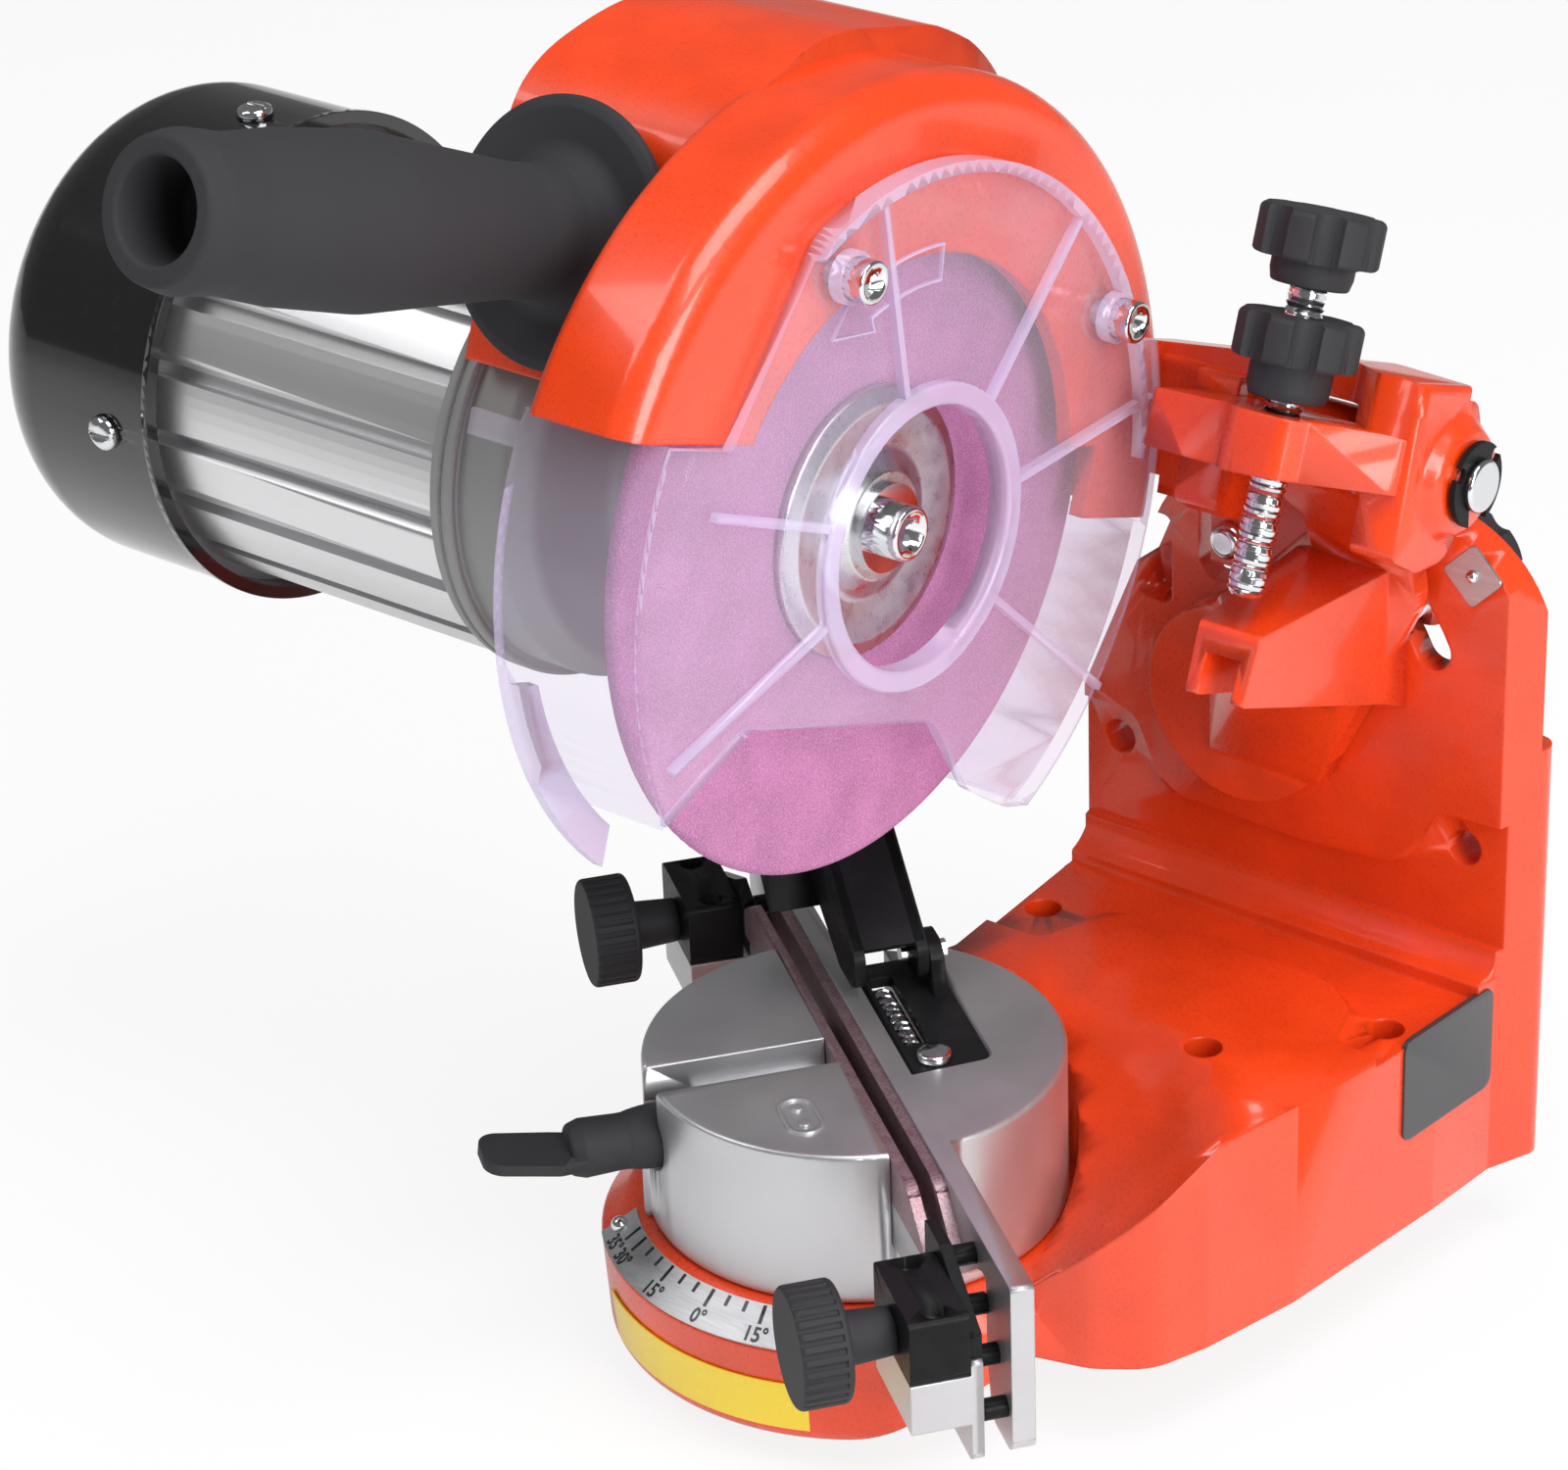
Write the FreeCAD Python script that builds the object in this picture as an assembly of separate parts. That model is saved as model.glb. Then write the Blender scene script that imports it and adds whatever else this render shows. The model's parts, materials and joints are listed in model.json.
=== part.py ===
import FreeCAD, Part
import math
import os

from FreeCAD import Vector

# All sizes are in millimetres.  +Z is up, +Y points at the mounting wall.
# Shapes are drawn about the vise axis, with z = 0 on the bench, and are moved
# into the row frame (midpoint of the two bench bolts) as they are exported.

# ---------------------------------------------------------------- clearances
FIT = 0.05            # radial running clearance of a shaft in its bore
GAP = 0.3             # open space between two castings that move
PLAY = 0.6            # travel of the moving jaw

# ---------------------------------------------------------------- frame
BOLT_MID_X = 35.0
BOLT_MID_Y = 77.5
BOLT_PITCH = 88.0
BOLT_HOLE_R = 4.0
WALL_HOLE_Z = 74.5
MID_HOLE_X = 55.0
MID_HOLE_Y = 46.0

# ---------------------------------------------------------------- base
TABLE_R = 43.8
SEAT_CLEAR = 2.2
SCALE_RING = 8.0
DRUM_TAPER = 1.2
SEAT_R = TABLE_R + SEAT_CLEAR
DRUM_R = SEAT_R + SCALE_RING
DRUM_FOOT_R = DRUM_R - DRUM_TAPER
DRUM_BOTTOM_Z = -12.0
SEAT_Z = 16.0
SCALE_DROP = 5.3
SKIN = 5.0
PLATE_Z = 47.0
PAD_Z = 44.5
WALL_Y = 104.5
PAD_Y = 106.5
WALL_BACK_Y = 120.0
WALL_TOP_BACK_Y = 114.0
WALL_SHELF_Z = 98.0
WALL_TOP_Z = 148.0
PIVOT_R = 6.0

# ---------------------------------------------------------------- turntable
TABLE_Z = 51.0
TABLE_FLOOR_Z = 30.0
TABLE_TURN = -35.5
SLOT_LO = -5.2
RAIL_T = 2.4
JAW_IN = 3.0
JAW_OUT = 7.7
JAW_REACH = 96.0
JAW_LOW_Z = 13.0
KNOB_S = 84.0
KNOB_Z = 38.5
LEVER_S = 1.0
LEVER_Z = 38.0
RAIL_LOW_Z = 40.0
JAW_SEAM_Z = 36.2
JAW_NOTCH_Z = 34.7

# ---------------------------------------------------------------- tilt support
TILT_X = 28.2
TILT_Z = 97.4
TILT_R = 22.6
LEAF_Y = 96.5
STOP_X = 54.0
STOP_W = 13.0
STOP_FRONT_Y = 56.0
STOP_Z = 138.2
CLAMP_R = 48.0
CLAMP_ANGLE = 40.0
CLAMP_X = TILT_X + CLAMP_R * math.cos(math.radians(CLAMP_ANGLE))
CLAMP_Z = TILT_Z + CLAMP_R * math.sin(math.radians(CLAMP_ANGLE))
TILT_RANGE = 12.0
DOME_X = 21.0
DOME_Z = 130.7
DOME_R = 4.2
DOME_HEIGHT = 3.2
SCALE_X = 80.0
SCALE_Z = 138.0
SCALE_T = 0.6

# ---------------------------------------------------------------- head
PIN_Y = 95.0
PIN_Z = 163.4
PIN_R = 5.5
PIN_END_X = 88.0
LIFT = 20.0
HUB_Y = -85.7
HUB_Z = -26.7
HOOD_R = 89.5
HOOD_FRONT = 12.0
HOOD_BACK = -14.0
HOOD_SKIN = 3.5
HOOD_CUT = 17.0
HUMP_R = 96.0
HUMP_LEFT = -62.0
LUG_OUT = 84.0
LUG_IN = 70.0
EAR_OUT = 15.0
EAR_IN = 36.0
SCREW_Y = -25.2
SCREW_R = 4.0

# ---------------------------------------------------------------- wheel, motor
WHEEL_R = 72.5
WHEEL_T = 4.5
SHAFT_R = 6.0
FLANGE_R = 27.5
MOTOR_R = 47.5
MOTOR_LEFT = -148.0
RING_X = -68.0
CAP_R = 52.0
CAP_LEFT = -195.0
FIN_COUNT = 20
GUARD_R = 82.0
GUARD_T = 2.5
GUARD_X = 13.0
GUARD_BACK = -20.0
HANDLE_X = -40.4
HANDLE_Z = 16.2
HANDLE_LEN = 110.0

ORIGIN = Vector(0, 0, 0)
AXES = {"x": Vector(1, 0, 0), "y": Vector(0, 1, 0), "z": Vector(0, 0, 1)}


# ================================================================ helpers
def box(x0, x1, y0, y1, z0, z1):
    return Part.makeBox(x1 - x0, y1 - y0, z1 - z0, Vector(x0, y0, z0))


def rod(radius, start, end):
    a = Vector(*start)
    span = Vector(*end) - a
    return Part.makeCylinder(radius, span.Length, a, span)


def taper(r0, r1, start, end):
    a = Vector(*start)
    span = Vector(*end) - a
    return Part.makeCone(r0, r1, span.Length, a, span)


def tube(r_out, r_in, start, end):
    return rod(r_out, start, end).cut(rod(r_in, start, end))


def place(axis, p, q, h):
    if axis == "x":
        return Vector(h, p, q)
    if axis == "y":
        return Vector(p, h, q)
    return Vector(p, q, h)


def outline(axis, level, points, radius):
    """A face in the plane across axis; radius is one corner radius or a list of them.

    A corner is rounded no further than the middle of the shorter side beside it.
    """
    radii = radius if isinstance(radius, (list, tuple)) else [radius] * len(points)
    count = len(points)
    corners = []
    for i in range(count):
        here = Vector(points[i][0], points[i][1], 0)
        before = Vector(points[i - 1][0], points[i - 1][1], 0) - here
        after = Vector(points[(i + 1) % count][0], points[(i + 1) % count][1], 0) - here
        half = before.getAngle(after) / 2
        if radii[i] <= 0 or math.pi / 2 - half < 0.01:
            corners.append((here, None, here))
            continue
        reach = min(radii[i] / math.tan(half), 0.499 * before.Length, 0.499 * after.Length)
        r = reach * math.tan(half)
        before.normalize()
        after.normalize()
        middle = before + after
        middle.normalize()
        mid = here + middle * (r / math.sin(half) - r)
        corners.append((here + before * reach, mid, here + after * reach))
    edges = []
    for i in range(count):
        start, mid, end = corners[i]
        a = place(axis, start.x, start.y, level)
        b = place(axis, end.x, end.y, level)
        if mid is not None:
            edges.append(Part.Arc(a, place(axis, mid.x, mid.y, level), b).toShape())
        following = corners[(i + 1) % count][0]
        c = place(axis, following.x, following.y, level)
        if (c - b).Length > 1e-6:
            edges.append(Part.makeLine(b, c))
    return Part.Face(Part.Wire(edges))


def slab(axis, low, high, points, radius=0):
    """An outline pushed along one axis.  Points are the other two axes in x, y, z order."""
    return outline(axis, low, points, radius).extrude(AXES[axis] * (high - low))


def lathe(axis, centre, profile, radius=0, turn=360.0):
    """A closed (distance from the axis, height along it) profile spun about an axis."""
    if axis == "x":
        face = outline("y", 0, [(h, r) for r, h in profile], radius)
    elif axis == "y":
        face = outline("z", 0, [(r, h) for r, h in profile], radius)
    else:
        face = outline("y", 0, [(r, h) for r, h in profile], radius)
    solid = face.revolve(ORIGIN, AXES[axis], turn)
    solid.translate(Vector(*centre))
    return solid


def ring_of(shape, axis, centre, count, start=0.0):
    out = []
    for i in range(count):
        piece = shape.copy()
        piece.rotate(Vector(*centre), AXES[axis], start + 360.0 * i / count)
        out.append(piece)
    return out


def fuse(first, *others):
    out = first.multiFuse([o for o in others])
    return out.removeSplitter()


def cut(first, *others):
    out = first
    for tool in others:
        out = out.cut(tool)
    return out


def soften(shape, radius, chooser):
    """Rounds the chosen edges."""
    edges = [e for e in shape.Edges if chooser(e)]
    return shape.makeFillet(radius, edges) if edges else shape


def star(radius, depth, lobes, low, high, axis, centre):
    """A lobed hand knob: a disc with round flutes."""
    body = lathe(axis, centre, [(0, low), (radius, low), (radius, high), (0, high)],
                 [0, 1.5, 2.0, 0])
    flute_r = radius * 0.26
    for i in range(lobes):
        a = 2 * math.pi * i / lobes
        d = radius + flute_r - depth
        c = place(axis, d * math.cos(a), d * math.sin(a), 0) + Vector(*centre)
        lo = c + AXES[axis] * (low - 1)
        hi = c + AXES[axis] * (high + 1)
        body = body.cut(rod(flute_r, tuple(lo), tuple(hi)))
    return body


def in_head(shape):
    """From the head's own level frame about the hinge pin to the lifted rest pose."""
    shape.rotate(ORIGIN, AXES["x"], -LIFT)
    shape.translate(Vector(0, PIN_Y, PIN_Z))
    return shape


def on_table(shape):
    """From the vise's own frame (rails along X) to the rest pose."""
    shape.rotate(ORIGIN, AXES["z"], TABLE_TURN)
    return shape


def save(name, shape):
    solids = shape.Solids
    body = solids[0] if len(solids) == 1 else Part.makeCompound(solids)
    if len(solids) == 0 or not body.isValid():
        raise ValueError(name + " is not a sound solid")
    body.translate(Vector(-BOLT_MID_X, -BOLT_MID_Y, 0))
    body.exportStep("parts/" + name + ".step")


# ================================================================ base
def bench_holes():
    half = BOLT_PITCH / 2
    return [(BOLT_MID_X - half, BOLT_MID_Y), (BOLT_MID_X + half, BOLT_MID_Y),
            (MID_HOLE_X, MID_HOLE_Y)]


def wall_holes():
    half = BOLT_PITCH / 2
    return [BOLT_MID_X - half, BOLT_MID_X + half]


def plan(inset, back):
    """The base seen from above, behind the drum."""
    return [(94.5 - inset, back), (88.6 - inset, WALL_Y), (87.6 - inset, 84),
            (83.5 - inset, 38), (78.5 - inset, 14), (74 - inset, 1), (64 - inset, -6 + inset),
            (50, -10 + inset), (0, -30 + inset), (-30 + inset, 0), (-12 + inset, 50),
            (-17.2 + inset, WALL_Y), (-21 + inset, back)]


def wall_outline(inset):
    return [(-22 + inset, 20), (-18 + inset, 84 - inset), (9 + inset, WALL_TOP_Z - inset),
            (94.5 - inset, WALL_TOP_Z - inset), (95 - inset, 20)]


def dish(drop, grow):
    """The bowl that clears the turntable and runs down to the drum's rim."""
    recess = rod(SEAT_R + grow, (0, 0, SEAT_Z - drop), (0, 0, PLATE_Z + 5))
    scoop = taper(32.3 + grow, 72.0 + grow, (20, -18, SEAT_Z - drop),
                  (20, -18, SEAT_Z - drop + 33.7))
    lid = rod(72 + grow, (20, -18, SEAT_Z - drop + 33.7), (20, -18, PLATE_Z + 6))
    return recess.fuse([scoop, lid])


def base_casting():
    body = slab("z", 0, PLATE_Z, plan(0, WALL_BACK_Y),
                [4, 2, 8, 8, 10, 14, 14, 4, 4, 4, 4, 2, 4])
    wall = slab("y", WALL_Y, WALL_BACK_Y, wall_outline(0), [0, 22, 26, 30, 0])
    wall = wall.common(slab("z", 0, WALL_TOP_Z, plan(0, WALL_BACK_Y),
                            [4, 2, 8, 0, 0, 0, 0, 0, 0, 0, 0, 2, 4]))
    wall = wall.cut(box(-40, 120, WALL_TOP_BACK_Y, WALL_BACK_Y + 1, WALL_SHELF_Z, 160))
    body = fuse(body, wall)
    body = body.cut(dish(0, 0))
    drum = lathe("z", (0, 0, 0), [(0, DRUM_BOTTOM_Z), (DRUM_FOOT_R, DRUM_BOTTOM_Z),
                                  (DRUM_R, SEAT_Z - SCALE_DROP - 0.3), (SEAT_R, SEAT_Z),
                                  (0, SEAT_Z)], [0, 4, 1, 0, 0])
    rear = slab("x", -60, 60, [(-16, 0), (-30, -4.5), (-36, -8), (-44, -12.5), (70, -14),
                               (70, 0)], [10, 8, 8, 0, 0, 0])
    rear = rear.common(box(-60, 60, -60, 70, -20, 0))
    body = fuse(body, drum.cut(rear))
    curve = slab("x", -16.5, 88.4, [(WALL_Y + 3, PAD_Z - 1), (WALL_Y - 9, PAD_Z - 1),
                                    (WALL_Y - 9, PAD_Z), (WALL_Y, PAD_Z + 9),
                                    (WALL_Y + 3, PAD_Z + 9)])
    curve = curve.cut(rod(10, (-20, WALL_Y - 9, PLATE_Z + 10), (95, WALL_Y - 9, PLATE_Z + 10)))
    body = fuse(body, curve)
    low = slab("z", PAD_Z, PLATE_Z + 1, [(-25, 62.5), (1, 63), (6, 82), (23, 83), (60, 84),
                                         (70, 78), (75, 64), (96, 63), (96, WALL_Y - 6),
                                         (-25, WALL_Y - 6)],
               [0, 5, 6, 0, 6, 5, 5, 0, 0, 0])
    face = slab("y", WALL_Y - 1, PAD_Y, [(-25, 83), (-4, 83), (4, 66), (40, 65), (66, 67),
                                         (73, 82), (96, 83), (96, PAD_Z + 9),
                                         (-25, PAD_Z + 9)],
                [0, 6, 7, 0, 7, 6, 0, 0, 0])
    body = cut(body, low, face)
    body = body.cut(tray_room())
    body = body.cut(wall_room())
    holes = [rod(BOLT_HOLE_R, (x, y, -1), (x, y, PLATE_Z + 1)) for x, y in bench_holes()]
    holes += [rod(BOLT_HOLE_R, (x, WALL_Y - 2, WALL_HOLE_Z), (x, WALL_BACK_Y + 1, WALL_HOLE_Z))
              for x in wall_holes()]
    holes.append(rod(PIVOT_R, (0, 0, DRUM_BOTTOM_Z - 1), (0, 0, SEAT_Z + 1)))
    holes.append(rod(5.0, (TILT_X, WALL_Y - 1, TILT_Z), (TILT_X, 130, TILT_Z)))
    holes.append(scale_square(WALL_Y - 1, 5.1, 1.0))
    return cut(body, *(holes + clamp_slot() + windows()))


def angle_scale():
    t = 0.6
    run = DRUM_R - 0.3 - SEAT_R
    drop = SCALE_DROP
    size = math.hypot(run, drop)
    nr = drop / size * t
    nz = run / size * t
    plate = lathe("z", (0, 0, 0), [(SEAT_R + 0.3, SEAT_Z - 0.2), (DRUM_R - 0.2, SEAT_Z - drop),
                                   (DRUM_R - 0.2 + nr, SEAT_Z - drop + nz),
                                   (SEAT_R + 0.3 + nr, SEAT_Z - 0.2 + nz)], 0, 88)
    plate.rotate(ORIGIN, AXES["z"], -90 - 44)
    return plate


def rivet(at, direction, radius):
    dome = Part.makeSphere(radius, Vector(*at), Vector(*direction), 0, 90, 360)
    return dome


def scale_rivets():
    out = []
    for a in (-90 - 41.5, -90 + 41.5):
        c = math.cos(math.radians(a))
        s = math.sin(math.radians(a))
        r = 50.0
        z = SEAT_Z - 0.2 - (r - SEAT_R - 0.3) * SCALE_DROP / (DRUM_R - 0.2 - SEAT_R - 0.3)
        out.append(rivet((r * c + 0.36 * c, r * s + 0.36 * s, z + 0.68), (c * 0.55, s * 0.55, 0.83),
                         1.9))
    out.append(rivet((SCALE_X, WALL_Y - 0.1, SCALE_Z), (0, -1, 0), 1.4))
    return Part.makeCompound(out)


def tilt_scale():
    """Small square plate, let into the wall so that the leaf passes over it."""
    return scale_square(WALL_Y - 0.1, 5.0, 1.0)


def scale_square(front, half, corner):
    plate = slab("y", front, WALL_Y - 0.1 + SCALE_T,
                 [(-half, -half), (half, -half), (half, half), (-half, half)], corner)
    plate.rotate(ORIGIN, AXES["y"], 45)
    plate.translate(Vector(SCALE_X, 0, SCALE_Z))
    return plate


def side_plate():
    """Plain plate on the flank of the base, with nothing written on it."""
    plate = slab("x", 0, 0.6, [(-17, -11), (17, -11), (17, 11), (-17, 11)], 2.5)
    turn = math.degrees(math.atan2(87.6 - 83.5, 84 - 38))
    plate.rotate(ORIGIN, AXES["z"], -turn)
    plate.translate(Vector(83.5 + 26 * math.tan(math.radians(turn)), 64.0, 24.0))
    return plate


# ================================================================ turntable
def turntable():
    top = TABLE_Z
    body = lathe("z", (0, 0, 0), [(0, SEAT_Z + GAP / 3), (TABLE_R, SEAT_Z + GAP / 3),
                                  (TABLE_R, top), (0, top)], [0, 1.5, 1.0, 0])
    # the arm arches over the flank of the base and hangs down beyond it
    half = [(JAW_REACH, top), (JAW_REACH, JAW_LOW_Z), (83, JAW_LOW_Z), (80.3, 26),
            (80.3, 44.5), (75, 42.5), (58, 30)]
    arm = slab("y", JAW_IN, JAW_OUT, half + [(-s, z) for s, z in reversed(half)],
               [1, 3, 3, 4, 4, 6, 5, 5, 6, 4, 4, 3, 3, 1])
    body = fuse(body, arm)
    slot = box(-120, 120, SLOT_LO, JAW_IN, TABLE_FLOOR_Z, top + 1)
    channel = box(LEVER_S - 5, LEVER_S + 5, -60, SLOT_LO + 1, LEVER_Z, top + 1)
    bracket = slab("z", top - 3.0, top + 1, [(-45, JAW_OUT + 0.5), (16, 4.1), (14.5, 25.8),
                                             (-45, 25.8)], [0, 1, 3, 0])
    bracket = bracket.cut(box(-120, 120, -10, JAW_OUT, 0, 60))
    well = slab("z", TABLE_FLOOR_Z + 8, top, [(-50, 9.2), (4, 9.2), (4, 18), (-50, 18)], 1)
    body = cut(body, slot, channel, bracket, well)
    bolt_way = rod(5.0 + FIT, (LEVER_S, -60, LEVER_Z), (LEVER_S, SLOT_LO + 1, LEVER_Z))
    seat = rod(7.2 + GAP, (LEVER_S, -60, LEVER_Z), (LEVER_S, -32, LEVER_Z))
    pivot = rod(PIVOT_R + FIT, (0, 0, 0), (0, 0, TABLE_FLOOR_Z - 2))
    body = cut(body, bolt_way, seat, pivot)
    # pocket of the casting's underside, with a cross of ribs
    under = lathe("z", (0, 0, 0), [(12, 0), (TABLE_R - 5, 0), (TABLE_R - 5, TABLE_FLOOR_Z - 5),
                                   (12, TABLE_FLOOR_Z - 5)], [0, 0, 3, 3])
    under = cut(under, box(-60, 60, -2, 2, 0, 40), box(-2, 2, -60, 60, 0, 40))
    screw_hole = rod(2.0, (10, 14.2, top - 12), (10, 14.2, top + 1))
    body = cut(body, under, screw_hole)
    mark = slab("z", SEAT_Z + GAP / 3 + 0.5, SEAT_Z + 15, [(-1.0, -TABLE_R - 1.2),
                                                          (1.0, -TABLE_R - 1.2),
                                                          (1.6, -TABLE_R + 1),
                                                          (-1.6, -TABLE_R + 1)], 0)
    mark.rotate(ORIGIN, AXES["z"], -5.0)
    return on_table(fuse(body, mark))


def pivot_stud():
    """Stud pressed in the drum, with the washer under it."""
    shaft = rod(PIVOT_R, (0, 0, -17), (0, 0, TABLE_FLOOR_Z - 3))
    washer = tube(11.0, PIVOT_R, (0, 0, -6.0), (0, 0, -4.0))
    return Part.makeCompound([shaft, washer])


def rail(low):
    """One ground guide rail, with its ends bent down."""
    top = TABLE_Z - 0.8
    return slab("y", low, low + RAIL_T, [(-64, top), (54, top), (66, top - 9), (66, RAIL_LOW_Z),
                                         (-70, RAIL_LOW_Z), (-70, top - 4)],
                [5, 8, 4, 1, 1, 3])


def rails():
    left = rail(SLOT_LO + 0.2)
    right = rail(JAW_IN - RAIL_T)
    return on_table(left), on_table(right)


def rollers():
    """Black cross pieces between the jaws at each end."""
    out = []
    start = SLOT_LO + 0.2 + RAIL_T + PLAY + GAP
    for sign in (-1, 1):
        for s, z in ((73, 45), (80, 38), (87, 31), (92, 22)):
            out.append(rod(2.2, (sign * s, start, z), (sign * s, JAW_IN, z)))
    return on_table(Part.makeCompound(out))


def moving_jaw():
    """The loose jaw: a plate along the rails with a foot under each end block."""
    t0 = SLOT_LO + 0.2
    low = TABLE_FLOOR_Z + GAP
    half = [(66, RAIL_LOW_Z), (66, JAW_SEAM_Z), (JAW_REACH, JAW_SEAM_Z), (JAW_REACH, JAW_LOW_Z),
            (75, JAW_LOW_Z), (72.2, JAW_NOTCH_Z), (62, JAW_NOTCH_Z), (58, low)]
    plate = slab("y", t0, t0 + RAIL_T, half + [(-s, z) for s, z in reversed(half)],
                 [1, 1, 1, 2, 4, 2, 2, 2, 2, 2, 2, 4, 2, 1, 1, 1])
    feet = [box(min(s * 72, s * 96), max(s * 72, s * 96), -17, t0 + 0.5, 22, 33)
            for s in (-1, 1)]
    body = fuse(plate, *feet)
    body = body.cut(rod(1.9 + FIT, (LEVER_S, -20, LEVER_Z), (LEVER_S, 5, LEVER_Z)))
    return on_table(body)


def jaw_plate(sign):
    """Black guide plate that carries one end of the left rail."""
    pts = [(66.5, TABLE_Z - 0.5), (76, TABLE_Z - 0.5), (JAW_REACH - 0.5, 42),
           (JAW_REACH - 0.5, JAW_SEAM_Z), (66.5, JAW_SEAM_Z)]
    pts = [(sign * a, b) for a, b in pts]
    if sign < 0:
        pts = [(-70.2, RAIL_LOW_Z + 8)] + pts[1:4] + [(-66.5, JAW_SEAM_Z), (-66.5, RAIL_LOW_Z - 0.1),
                                                      (-70.2, RAIL_LOW_Z - 0.1)]
    return slab("y", SLOT_LO + 0.2, SLOT_LO + 0.2 + RAIL_T, pts, 1.0)


def end_block(sign):
    x0 = min(sign * 72, sign * 96)
    x1 = max(sign * 72, sign * 96)
    low = SLOT_LO + 0.2
    body = slab("y", -17, low, [(x0, 33), (x1, 33), (x1, 47), (x0, 47)], 1.5)
    body = body.cut(rod(4.0 + FIT, (sign * KNOB_S, -20, KNOB_Z), (sign * KNOB_S, low, KNOB_Z)))
    for dx in (-8.5, 8.5):
        body = body.cut(rod(2.6, (sign * KNOB_S + dx, -11, 40), (sign * KNOB_S + dx, -11, 50)))
    return body


def end_screw(sign):
    out = []
    for dx in (-8.5, 8.5):
        out.append(rod(2.5, (sign * KNOB_S + dx, -11, 41), (sign * KNOB_S + dx, -11, 44.5)))
    return out


def end_knob(sign):
    """Knurled thumb knob with its shaft, across the end block."""
    head = rod(15.0, (sign * KNOB_S, -40, KNOB_Z), (sign * KNOB_S, -29, KNOB_Z))
    head = soften(head, 1.2, lambda e: True)
    groove = rod(0.9, (sign * KNOB_S + 15.2, -42, KNOB_Z), (sign * KNOB_S + 15.2, -30.5, KNOB_Z))
    for tool in ring_of(groove, "y", (sign * KNOB_S, 0, KNOB_Z), 30):
        head = head.cut(tool)
    neck = taper(6.0, 5.0, (sign * KNOB_S, -29.5, KNOB_Z), (sign * KNOB_S, -17.3, KNOB_Z))
    shaft = rod(4.0, (sign * KNOB_S, -18, KNOB_Z), (sign * KNOB_S, SLOT_LO + 0.1, KNOB_Z))
    return fuse(head, neck, shaft)


def clamp_lever():
    """Barrel and bent wing that squeeze the jaws."""
    c = (LEVER_S, 0, LEVER_Z)
    barrel = lathe("y", c, [(0, -66), (7.2, -66), (8.6, -62), (8.0, -50), (6.6, -44.6),
                            (6.6, -33), (0, -33)], [0, 2, 2, 3, 0, 0, 0])
    wing = slab("z", -1.7, 1.7, [(-6, -52), (6, -52), (11, -70), (9, -92), (-9, -92),
                                 (-8, -70)], [3, 3, 6, 6, 6, 6])
    wing.rotate(Vector(0, -60, 0), AXES["x"], -8)
    wing.translate(Vector(LEVER_S, 0, LEVER_Z - 1))
    return on_table(fuse(barrel, wing))


def clamp_bolt():
    c = (LEVER_S, 0, LEVER_Z)
    shaft = lathe("y", c, [(0, -33), (5.0, -33), (5.0, SLOT_LO - 0.3), (1.9, SLOT_LO - 0.3),
                           (1.9, SLOT_LO + 1.6), (0, SLOT_LO + 1.6)])
    return on_table(shaft)


def stop_bracket():
    """Black plate let into the turntable, with the hinge ear of the chain stop."""
    top = TABLE_Z
    plate = slab("z", top - 3.0, top - 0.6, [(-31, 9.2), (-31, 25.4), (14, 25.4), (15, 8.6)],
                 [2, 3, 3, 1])
    plate = plate.cut(slab("z", top - 4, top, [(-25, 9.9), (3.4, 9.9), (3.4, 15.2), (-25, 15.2)],
                           1))
    ear = slab("y", 21.5, 24.5, [(-31, top - 2), (-13, top - 2), (-17, top + 10),
                                 (-27, top + 10)], [0, 0, 5, 5])
    plate = fuse(plate, ear)
    plate = plate.cut(rod(2.0, (-22, 20, top + 6), (-22, 26, top + 6)))
    plate = plate.cut(rod(2.1, (10, 14.2, top - 5), (10, 14.2, top + 1)))
    return on_table(plate)


def stop_screw():
    top = TABLE_Z - 0.6
    head = lathe("z", (10, 14.2, 0), [(0, top - 11), (2.0, top - 11), (2.0, top), (3.8, top),
                                      (3.4, top + 1.7), (0, top + 2.2)])
    return on_table(head)


def stop_spring():
    """Chain-stop return spring, drawn as separate rings on one straight guide wire."""
    out = []
    z = TABLE_Z - 4.2
    for i in range(8):
        s = -23.5 + i * 3.6
        ring = Part.makeTorus(2.2, 0.45, Vector(s, 12.5, z), Vector(1, 0.12, 0))
        out.append(ring)
    guide = rod(1.85, (-25, 12.5, z), (3.2, 12.5, z))
    return on_table(fuse(guide, *out))


def stop_arm():
    """Pawl that leans over the rails and meets the cutter behind the chain."""
    z = TABLE_Z + 6
    plate = slab("x", -24.5, -19.5, [(26, z - 4), (26, z + 5), (17, z + 12), (4, z + 14),
                                     (-5, z + 9), (-6, z + 3), (3, z + 4), (12, z - 1),
                                     (17, z - 4)], [3, 4, 4, 5, 3, 1, 3, 3, 2])
    plate = plate.cut(box(-30, -10, 21.5 - GAP, 24.5 + GAP, 40, z + 7.4))
    plate = plate.cut(rod(2.0 + FIT, (-22, 10, z), (-22, 30, z)))
    pawl = slab("z", z + 3, z + 9, [(-24.5, -6), (-19.5, -6), (-10, -3.4), (-10, -1.8),
                                    (-19.5, 2), (-24.5, 2)], 0)
    return on_table(fuse(plate, pawl))


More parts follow.
